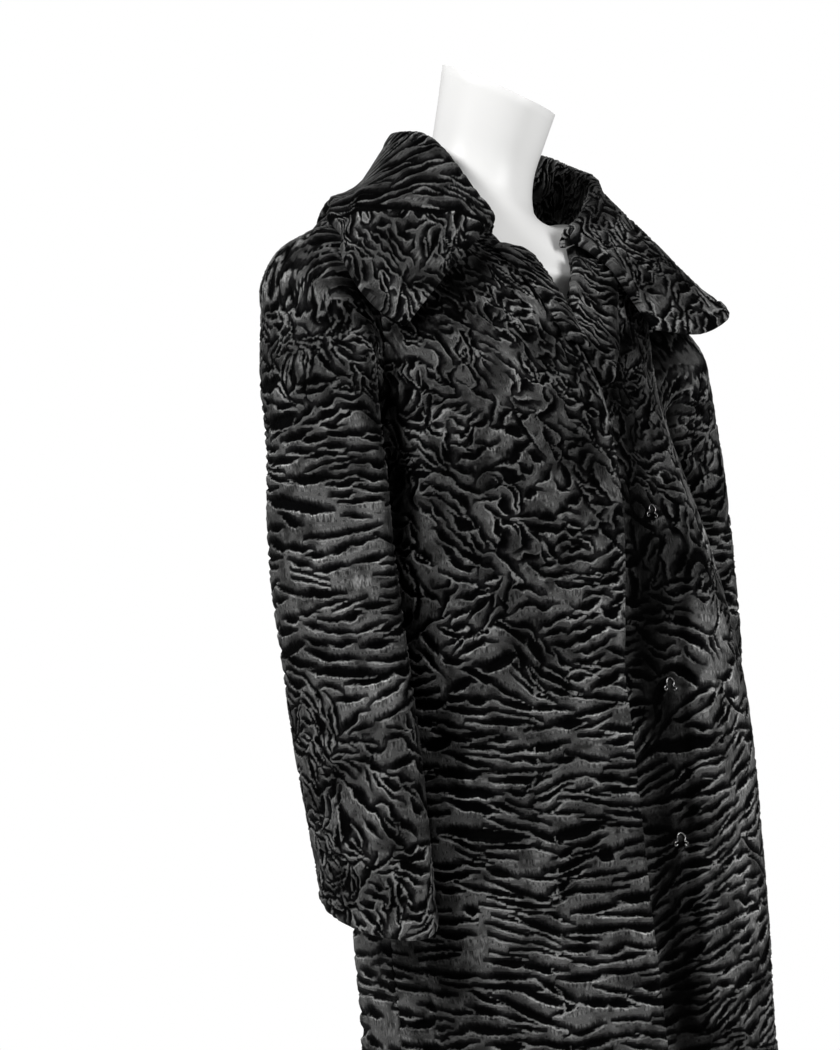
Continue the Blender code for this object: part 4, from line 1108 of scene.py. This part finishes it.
def makeSleeve(name, look):
    control = sleeveControl(look)
    count = control.shape[1]
    wrap, wall = sleeveHead["wrap"], figure["wall"]
    wrapped = np.concatenate([control[:, -wrap:], control, control[:, : wrap + 1]], axis=1)
    section = control[sleeveHead["evenAt"]]
    fromStart = runOf(np.vstack([section, section[:1]]), 0)
    around = int(fromStart[-1] / look["spacing"])
    at = np.interp(np.arange(around) * fromStart[-1] / around, fromStart, np.arange(count + 1))
    dense = acrossAt(wrapped, wrap + at)
    places, down = evenAlong(dense[:, around // 4], look["spacing"])
    grid = splineAt(dense, places)
    up = np.repeat((down[-1] - down)[:, None], around, 1)
    steps = np.linalg.norm(np.roll(grid, -1, 1) - grid, axis=-1)
    across = np.cumsum(steps, axis=1) - steps
    whole = steps.sum(axis=1, keepdims=True)
    drawn = drawPelt(look, whole.max() + sleeveHead["spare"], up.max())
    blend = smoothStep((across - whole + sleeveHead["join"]) / sleeveHead["join"])
    start, end = readPelt(drawn, across, up), readPelt(drawn, across - whole, up)
    fields = [a * (1 - blend) + b * blend for a, b in zip(start, end)]
    flip = look["side"] > 0
    return shell(name + "_fur", grid, fields, across, up, wall, look, closed=True, flip=flip), grid


makeEach(sleevePelts, makeSleeve)

lapelBands = ((0, 9, 16, 4, -8, 0.5, 30, 1),)
lapelPelts = {
    "lapel_right": {
        "side": -1.0, "front": "front_right", "seed": 83, "spacing": 0.0013, "cut": (0.057, 0.118),
        "area": 0.0036, "wrap": ((0.01, -0.002), (0.01, 0.004)),
        "free": ("first", "last", "left", "right"), "roll": 0.0012, "coarse": 4,
        "rows": inMetres({
            "ring": (9.75, 10.6, 11.6, 12.3),
            "inner": (20, 7, -7, -15.5),
            "width": (12, 16, 26, 36),
        }, "ring"),
        # painted shade: a darker line along the lapel
        "shades": ((48, 60, 6, 50, 0.6),),
        "bands": lapelBands,
    },
    "lapel_left": {
        "side": 1.0, "front": "front_left", "seed": 97, "spacing": 0.0013, "cut": (0.059, 0.13),
        "area": 0.0063, "wrap": ((0.004, 0.0095), (0.001, 0.01)),
        "free": ("first", "last", "left", "right"), "roll": 0.0012, "coarse": 4,
        "rows": inMetres({
            "ring": (9.2, 9.8, 10.5, 11.2, 12.2, 13.2),
            "inner": (45, 34, 30, 36, 44, 50),
            "width": (14, 42, 52, 50, 44, 36),
        }, "ring"),
        # painted shade: a darker line along the lapel and a darker place at its foot
        "shades": ((50, 80, 8, 60, 0.75), (30, 25, 20, 10, 0.4)),
        "bands": lapelBands,
    },
}
lapelForm = {  # a lapel's columns rise off the front, and its last one is seated on it
    "rows": 13, "steps": 5, "start": 0.002, "lift": 0.0038, "seat": 0.0008, "clear": 0.0035,
    "evenAt": 4, "rounds": 2,
}


def makeLapel(name, look):
    pointAt = leftFrontPoint if look["front"] == "front_left" else coatPoint
    table, side, wall = look["rows"], look["side"], figure["lapelWall"]
    place = np.linspace(table["ring"][0], table["ring"][-1], lapelForm["rows"])
    ring = ringAt(place)
    inner, width = (readTable(table, "ring", place, name) for name in ("inner", "width"))
    columns, last = [(inner - side * aside, out) for aside, out in look["wrap"]], lapelForm["steps"]
    for k in range(last + 1):
        aside = lapelForm["start"] + width * k / last
        columns.append((inner + side * aside, wall + lapelForm["lift" if k < last else "seat"]))
    lines = [liftedPoint(pointAt, place, angleOf(ring, offset), out)[0] for offset, out in columns]
    under, gap = [panelTrees[look["front"]]], wall + lapelForm["clear"]
    grid = relaxed(np.stack(lines, axis=1), len(look["wrap"]), under, gap, lapelForm["rounds"])
    rows, up = evenAlong(grid[:, lapelForm["evenAt"]], look["spacing"])
    dense = splineAt(grid, rows)
    line, _ = evenAlong(dense[len(dense) // 2], look["spacing"])
    dense = acrossAt(dense, line)
    across = runOf(dense, 1)
    up = np.repeat(up[:, None], len(line), 1)
    fields = pelted(look, across, up)
    return shell(name + "_fur", dense, fields, across, up, wall, look, flip=side < 0), dense


makeEach(lapelPelts, makeLapel)

collarLook = {  # across from the near front end, round the neck, and down from the seam
    "spacing": 0.0016, "cut": (0.898, 0.227), "area": 0.126, "free": ("first", "last", "right"),
    "roll": 0.0018, "standIn": 0.006, "fold": 0.018, "arch": 0.012, "rows": 34, "steps": 7,
    "clear": 0.003, "middleRow": 17, "wingColumn": 8.0, "foldSteps": 4, "rounds": 5,
    "join": (0.98, 0.174, 0.36), "joinDepth": 0.7,  # the sewn join between its two pelts
    "angle": (-20, -34, -50, -70, -98, -130, -180, -230, -262, -288, -308, -322, -334),
    "stand": (0.008, 0.018, 0.028, 0.036, 0.04, 0.046, 0.054, 0.064, 0.052, 0.038, 0.027, 0.018, 0.01),
    "edge": (
        (-112, -112, -146), (-139, -108, -136), (-160, -90, -112), (-164, -56, -80), (-134, 8, -50),
        (-104, 86, -58), (0, 142, -78), (124, 92, -52), (184, 16, -52), (222, -52, -44),
        (236, -94, -57), (200, -112, -84), (144, -122, -94),
    ),
    "tight": {"seed": 131, "bands": ((0, 7.5, 13, 3.4, -20, 0.9, 50, 1),)},
    "ridged": {
        "seed": 137, "bands": ((0, 9.5, 44, 4.4, -50, 0.14, 3, 1),), "patches": ((100, 150, 40, 30, 0.6),),
    },
    # painted shade on the collar, most on its far side
    "shades": ((60, 150, 40, 20, 0.3), (590, 190, 80, 20, 0.55), (500, 200, 60, 30, 0.6)),
    # painted highlights along the rolled free edge of both wings
    "lines": ((0, 9, 150, 9, 6, -0.4), (600, 8, 680, 8, 6, -0.3)),
    "creases": (
        (30, 120, 14, 70, 12, 2), (110, 80, 130, 50, 10, 1.8), (620, 150, 650, 90, 14, 2.2),
        (300, 90, 310, 30, 12, 2), (440, 100, 430, 40, 14, 1.8),
    ),
}


def centred(ring, shift=0.0, drop=0.0):
    x, y = figure["centre"]
    return np.array((ring["x"] + shift + x, ring["y"] + y, ring["z"] - drop))


def collarControl(look, trees):
    neck = ringAt(figure["neckRing"])
    tilt = math.radians(float(neck["tilt"]))
    up = np.array((math.sin(tilt), 0.0, math.cos(tilt)))
    side = np.array((math.cos(tilt), 0.0, -math.sin(tilt)))
    centre, half = centred(neck), look["fold"] / 2
    gap = figure["collarWall"] + look["clear"]
    grid = []
    for i in range(look["rows"] + 1):
        place = (len(look["angle"]) - 1) * i / look["rows"]
        angle = float(splineAt(look["angle"], place)) + 360.0
        stand = float(splineAt(look["stand"], place))
        x, y, z = splineAt(tableOf(look, "edge"), place)
        seam = ringPoint(neck, angle, -look["standIn"])
        away = unit(ringPoint(neck, angle) - seam)
        seam = seam + up * figure["restGap"] * 2
        top = seam + up * stand + away * half
        line = [seam, seam + up * stand * 0.5]
        for turn in np.linspace(0.0, math.pi, look["foldSteps"]):
            line.append(top - away * half * math.cos(turn) + up * half * math.sin(turn))
        edge = centre + side * x + np.array((0.0, y, 0.0)) + up * z
        start = line[-1]
        for k in range(1, look["steps"] + 1):
            share = k / look["steps"]
            arch = look["arch"] * math.sin(math.pi * share) * (1 - share)
            line.append(np.array(clearOf(start + (edge - start) * share + up * arch, trees, gap)))
        grid.append(line)
    return relaxed(np.array(grid), 2 + look["foldSteps"], trees, gap, look["rounds"])


def makeCollar(name, look):
    trees, step, lapelStep = list(panelTrees.values()), figure["treeStep"], figure["lapelTreeStep"]
    trees += [treeOf(grids["sleeve_right"], step, True), treeOf(grids["sleeve_left"][:, ::-1], step, True)]
    trees += [treeOf(grids["lapel_right"][:, ::-1], lapelStep), treeOf(grids["lapel_left"], lapelStep)]
    control = collarControl(look, trees)
    line, _ = evenAlong(control[look["middleRow"]], look["spacing"])
    places, along = evenAlong(splineAt(control.swapaxes(0, 1), look["wingColumn"]), look["spacing"])
    grid = acrossAt(splineAt(control, places), line)
    across, run = np.repeat(along[:, None], len(line), 1), runOf(grid, 1)
    down = run.max() - run
    slant, place, back = look["join"]
    beyond = np.minimum((across + slant * down - place) / math.hypot(1.0, slant), back - across)
    ridged, tight = (pelted(look[key], across, down) for key in ("ridged", "tight"))
    curl, side = (np.where(beyond > 0, a, b) for a, b in zip(ridged, tight))
    fields = (np.minimum(curl, np.abs(beyond) / pelt["unit"] - look["joinDepth"]), side)
    return shell(name + "_fur", grid, fields, across, down, figure["collarWall"], look, flip=True), grid


makeEach({"collar": collarLook}, makeCollar)

formLook = {  # rings up to the chest, then under the coat, then the neck along its own axis
    "sides": 112, "spacing": 0.008, "inset": 0.0069, "neckInset": 0.01, "shift": -0.01,  # neck to its right
    "neckDrop": 0.012, "leanLeft": 11.0, "leanForward": 7.0, "slantLeft": 20.0, "slantForward": 15.0,
    "bevel": 0.0015, "bevelRise": 0.6, "bevelTurns": (30.0, 60.0, 90.0),
    "capShares": (0.7, 0.35, 0.0), "floorShares": (0.0, 0.5, 0.985),
    "topRings": (12.2, 12.8, 13.4, 13.9, 14.4),
    "rings": inMetres({
        "z": (800, 850, 920, 1000, 1060, 1120, 1180, 1240, 1290),
        "x": (48, 44, 36, 25, 15, 5, -2, -8, -10),
        "y": (-36, -34, -28, -20, -13, -8, -2, 2, 4),
        "tilt": (0, 1, 3, 5, 7, 9, 10, 11, 11),
        "right": (160, 166, 156, 128, 118, 126, 138, 146, 152),
        "left": (160, 168, 160, 132, 122, 130, 142, 150, 154),
        "front": (112, 118, 112, 100, 98, 112, 126, 118, 96),
        "back": (118, 122, 112, 96, 90, 98, 108, 110, 100),
    }, "tilt"),
    "neck": ((0.004, 0.066), (0.02, 0.055), (0.05, 0.0495), (0.085, 0.0505), (0.122, 0.0535)),
}


def tangent(degrees):
    return math.tan(math.radians(degrees))


def makeFormBody(look):
    turns = np.arange(look["sides"]) * 360.0 / look["sides"]
    rows = []
    for values in zip(*look["rings"].values()):
        ring = dict(zip(look["rings"], map(np.float64, values)), dip=np.float64(0.0))
        rows.append(ringPoint(ring, turns))
    rows += [liftedPoint(coatPoint, place, turns, -look["inset"])[0] for place in look["topRings"]]
    neck = ringAt(figure["neckRing"])
    rows.append(ringPoint(neck, turns, -look["neckInset"]))
    foot = centred(neck, look["shift"], look["neckDrop"])
    axis = unit(np.array((tangent(look["leanLeft"]), -tangent(look["leanForward"]), 1.0)))

    def neckRing(along, radius):
        slant = smoothStep(along / look["neck"][-1][0])
        x, y = radius * np.sin(np.radians(turns)), -radius * np.cos(np.radians(turns))
        level = tangent(float(neck["tilt"])) * x
        cap = tangent(look["slantLeft"]) * x - tangent(look["slantForward"]) * y
        return foot + axis * along + np.stack([x, y, -(level + (cap - level) * slant)], axis=1)

    rows += [neckRing(along, radius) for along, radius in look["neck"]]
    control = np.array(rows)
    length = runOf(control[:, 0], 0)
    steps = np.linspace(0.0, length[-1], int(length[-1] / look["spacing"]))
    body = splineAt(control, np.interp(steps, length, np.arange(len(control))))
    lastAlong, lastRadius = look["neck"][-1]
    ends = []
    for turn in np.radians(look["bevelTurns"]):
        inset, rise = look["bevel"] * (1 - math.cos(turn)), look["bevel"] * math.sin(turn)
        ends.append(neckRing(lastAlong, lastRadius - inset) + axis * rise * look["bevelRise"])
    middle, floor = ends[-1].mean(axis=0), body[0].mean(axis=0)
    ends += [middle + (ends[-1] - middle) * share for share in look["capShares"]]
    starts = [floor + (body[0] - floor) * share for share in look["floorShares"]]
    return np.concatenate([starts, body, ends])


# a closed solid from rings whose first and last ring are single points
def latheMesh(name, grid):
    rows, columns = grid.shape[:2]
    points = [grid[0, 0]] + grid[1:-1].reshape(-1, 3).tolist() + [grid[-1, 0]]
    index = 1 + np.arange((rows - 2) * columns).reshape(rows - 2, columns)
    index = np.concatenate([index, index[:, :1]], axis=1)
    last, first, final = len(points) - 1, index[0].tolist(), index[-1].tolist()
    faces = quads(index) + [(0, b, a) for a, b in zip(first, first[1:])]
    faces += [(last, a, b) for a, b in zip(final, final[1:])]
    return meshFrom(name, [tuple(p) for p in points], faces, {})


pieces["form_torso"] = latheMesh("formBody", makeFormBody(formLook))

standLook = {  # radii and heights from the middle of the underside out, and up to the middle of the top
    "x": 0.015, "y": 0.014, "sides": 96,
    "form_base": (
        (0.0, 0.0), (0.172, 0.0), (0.1742, 0.0008), (0.175, 0.003), (0.175, 0.008), (0.1738, 0.0108),
        (0.171, 0.012), (0.10, 0.012), (0.05, 0.012), (0.0, 0.012),
    ),
    "form_pole": (
        (0.0, 0.0126), (0.0126, 0.0126), (0.014, 0.0136), (0.014, 0.20), (0.014, 0.40),
        (0.014, 0.60), (0.014, 0.7984), (0.0126, 0.7994), (0.0, 0.7994),
    ),
}


def spun(name, profile):
    turns = np.arange(standLook["sides"]) * 2 * math.pi / standLook["sides"]
    profile = np.array(profile)
    radius, z = profile[:, :1], profile[:, 1:]
    x, y = standLook["x"] + radius * np.sin(turns), standLook["y"] - radius * np.cos(turns)
    return latheMesh(name, np.stack([x, y, np.broadcast_to(z, x.shape)], axis=-1))


pieces["form_base"] = spun("standBase", standLook["form_base"])
pieces["form_pole"] = spun("standPole", standLook["form_pole"])
print("stage: form and stand")

wireLook = {  # three hooks and three eyes
    "rings": (7.45, 5.54, 4.05), "offsets": (0.085, 0.062, 0.048),
    "radius": 0.0008, "sides": 12, "smooth": 4,
    "loop": 0.0045, "loopTurn": (-40.0, 260.0), "loopSteps": 12,
    "foot": 0.0018, "footTurn": (140.0, 60.0), "footApart": 0.0022, "footBelow": 0.0024, "footWidth": 0.9,
    "hook": 0.012, "hookShares": (0.0, 0.5, 0.9), "hookReturn": 0.45, "hookBend": 0.0018, "hookBack": 0.004,
    "bendSteps": 5,
}


def surfaceFrame(pointAt, place, degrees, out):
    spot, normal = liftedPoint(pointAt, place, degrees, out)
    aside = unit(pointAt(place, degrees + figure["probe"][1]) - pointAt(place, degrees))
    up = np.cross(normal, aside)
    return lambda x, y, z: spot + aside * x + up * y + normal * z


def makeWireTree():
    tree = bpy.data.node_groups.new("bentWire", "GeometryNodeTree")
    for name, direction, kind in (
        ("path", "INPUT", "Geometry"), ("radius", "INPUT", "Float"), ("sides", "INPUT", "Int"),
        ("wire", "OUTPUT", "Geometry"),
    ):
        tree.interface.new_socket(name, in_out=direction, socket_type="NodeSocket" + kind)
    given, done = tree.nodes.new("NodeGroupInput"), tree.nodes.new("NodeGroupOutput")
    kinds = ("CurvePrimitiveCircle", "CurveToMesh", "RealizeInstances", "SetMaterial")
    section, swept, realized, dressed = (tree.nodes.new("GeometryNode" + kind) for kind in kinds)
    swept.inputs["Fill Caps"].default_value = True
    dressed.inputs["Material"].default_value = wireMaterial
    for start, end in (
        (given.outputs["radius"], section.inputs["Radius"]),
        (given.outputs["sides"], section.inputs["Resolution"]),
        (given.outputs["path"], swept.inputs["Curve"]),
        (section.outputs["Curve"], swept.inputs["Profile Curve"]),
        (swept.outputs["Mesh"], realized.inputs["Geometry"]),
        (realized.outputs["Geometry"], dressed.inputs["Geometry"]),
        (dressed.outputs["Geometry"], done.inputs["wire"]),
    ):
        tree.links.new(start, end)
    return tree


wireTree = makeWireTree()


def wirePiece(name, points):
    curve = bpy.data.curves.new(name, "CURVE")
    curve.dimensions = "3D"
    path = curve.splines.new("POLY")
    steps = np.linspace(0, len(points) - 1, len(points) * wireLook["smooth"])
    fine = splineAt(np.array(points), steps)
    path.points.add(len(fine) - 1)
    path.points.foreach_set("co", np.column_stack([fine, np.ones(len(fine))]).ravel())
    bent = bpy.data.objects.new(name, curve)
    bpy.context.scene.collection.objects.link(bent)
    sweep = bent.modifiers.new("bentWire", "NODES")
    sweep.node_group = wireTree
    for socket in wireTree.interface.items_tree:
        if socket.name in ("radius", "sides"):
            sweep[socket.identifier] = wireLook[socket.name]
    mesh = bpy.data.meshes.new_from_object(bent.evaluated_get(bpy.context.evaluated_depsgraph_get()))
    bpy.data.objects.remove(bent)
    mesh.name = name
    return placed(name, mesh)


def eyeOutline():
    (start, sweep), (high, back), steps = wireLook["loopTurn"], wireLook["footTurn"], wireLook["loopSteps"]
    bend = np.arange(1, wireLook["bendSteps"] + 1)

    def arc(radius, degrees):
        return [(radius * math.cos(t), radius * math.sin(t)) for t in np.radians(degrees)]

    ring = arc(wireLook["loop"], start + sweep * np.arange(steps + 1) / steps)
    feet = arc(wireLook["foot"], high - back * bend)

    def footAt(end, side, points):
        apart, below, width = wireLook["footApart"], wireLook["footBelow"], wireLook["footWidth"]
        return [(end[0] + side * (apart + x * width), end[1] - below + y) for x, y in points]

    return footAt(ring[0], 1, feet[::-1]) + ring + footAt(ring[-1], -1, feet)


def hookOutline():
    length, bend, steps = wireLook["hook"], wireLook["hookBend"], wireLook["bendSteps"]
    points = [(length * share, 0.0) for share in wireLook["hookShares"]]
    end = points[-1][0]
    for turn in np.pi * np.arange(1, steps + 1) / steps:
        points.append((end + bend * math.sin(turn), -bend + bend * math.cos(turn)))
    return points + [(length * wireLook["hookReturn"], -2 * bend)]


radius, leftFront = wireLook["radius"], [panelTrees["front_left"]]
for number, (place, offset) in enumerate(zip(wireLook["rings"], wireLook["offsets"]), 1):
    ring = ringAt(place)
    seat = surfaceFrame(leftFrontPoint, place, angleOf(ring, offset), radius)
    points = [clearOf(seat(x, y, 0.0), leftFront, radius + figure["restGap"]) for x, y in eyeOutline()]
    pieces["eye_%d" % number] = wirePiece("eyeWire%d" % number, points)
    edge = readTable(edgeTable, "ring", place, "rightFront")
    turn = angleOf(ring, edge - wireLook["hook"] - wireLook["hookBack"])
    seat = surfaceFrame(coatPoint, place, turn, -figure["wall"] - radius - 2 * figure["restGap"])
    pieces["hook_%d" % number] = wirePiece("hookWire%d" % number, [seat(x, 0.0, z) for x, z in hookOutline()])
print("stage: hooks and eyes")

slots = {
    "form": ("form_torso",), "steel": ("form_pole", "form_base"),
    "wire": tuple(name for name in pieces if name[:4] in ("eye_", "hook")),
}
dressing = {"form": lacquerMaterial, "steel": steelMaterial, "wire": wireMaterial, "fur": furMaterial}
for name, piece in pieces.items():
    slotName = next((s for s, names in slots.items() if name in names), "fur")
    piece.data.materials.clear()
    piece.data.materials.append(dressing[slotName])
    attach(piece, "root")
    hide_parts(name)

studio = {
    "floorRadius": 1.7, "floorSides": 96, "floorDrop": 0.0005,
    "aim": (0.0, 0.0, 0.95),
    "backdrop": 1.0, "ambient": 0.22,
    "camera": (-1.593, -2.744, 1.08),
    "ahead": (0.469, 0.883, 0.0),  # the way that the camera looks
    "lens": 115.2, "sensor": 36.0, "clip": (0.05, 60.0),
    "lights": (  # name, place, size, power
        ("key", (-3.3, -0.45, 3.3), 0.8, 156.0),
        ("front", (1.5, -3.1, 2.3), 1.5, 100.0),
        ("rear", (1.6, 2.6, 2.8), 1.6, 30.0),
    ),
}
scene = bpy.context.scene
turns = np.arange(studio["floorSides"]) * 2 * math.pi / studio["floorSides"]
radius, drop = studio["floorRadius"], studio["floorDrop"]
rim = [(radius * math.cos(t), radius * math.sin(t), -drop) for t in turns]
floor = meshFrom("studioFloor", rim, [tuple(range(len(rim)))], {})
floor.data.materials.append(makeCoating("paleFloor", floorLook))

world = bpy.data.worlds.new("studioWorld")
scene.world = world
world.use_nodes = True
nodes, link = world.node_tree.nodes, world.node_tree.links.new
seen, glow = nodes["Background"], nodes.new("ShaderNodeBackground")
for background, strength in ((seen, studio["backdrop"]), (glow, studio["ambient"])):
    background.inputs["Color"].default_value = (1.0, 1.0, 1.0, 1.0)
    background.inputs["Strength"].default_value = strength
path, mixer = nodes.new("ShaderNodeLightPath"), nodes.new("ShaderNodeMixShader")
link(path.outputs["Is Camera Ray"], mixer.inputs["Fac"])
link(glow.outputs[0], mixer.inputs[1])
link(seen.outputs[0], mixer.inputs[2])
link(mixer.outputs[0], nodes["World Output"].inputs["Surface"])
for name, spot, size, power in studio["lights"]:
    light = bpy.data.lights.new(name, "AREA")
    light.size = size
    light.energy = power
    lamp = bpy.data.objects.new(name, light)
    lamp.location = spot
    lamp.rotation_euler = (Vector(studio["aim"]) - Vector(spot)).to_track_quat("-Z", "Y").to_euler()
    scene.collection.objects.link(lamp)

camera = bpy.data.cameras.new("mainCamera")
camera.lens = studio["lens"]
camera.sensor_width = studio["sensor"]
camera.sensor_fit = "AUTO"
camera.clip_start, camera.clip_end = studio["clip"]
view = bpy.data.objects.new("mainCamera", camera)
view.location = studio["camera"]
view.rotation_euler = Vector(studio["ahead"]).to_track_quat("-Z", "Y").to_euler()
scene.collection.objects.link(view)
scene.camera = view
scene.view_settings.view_transform = "Standard"

bpy.context.view_layer.update()
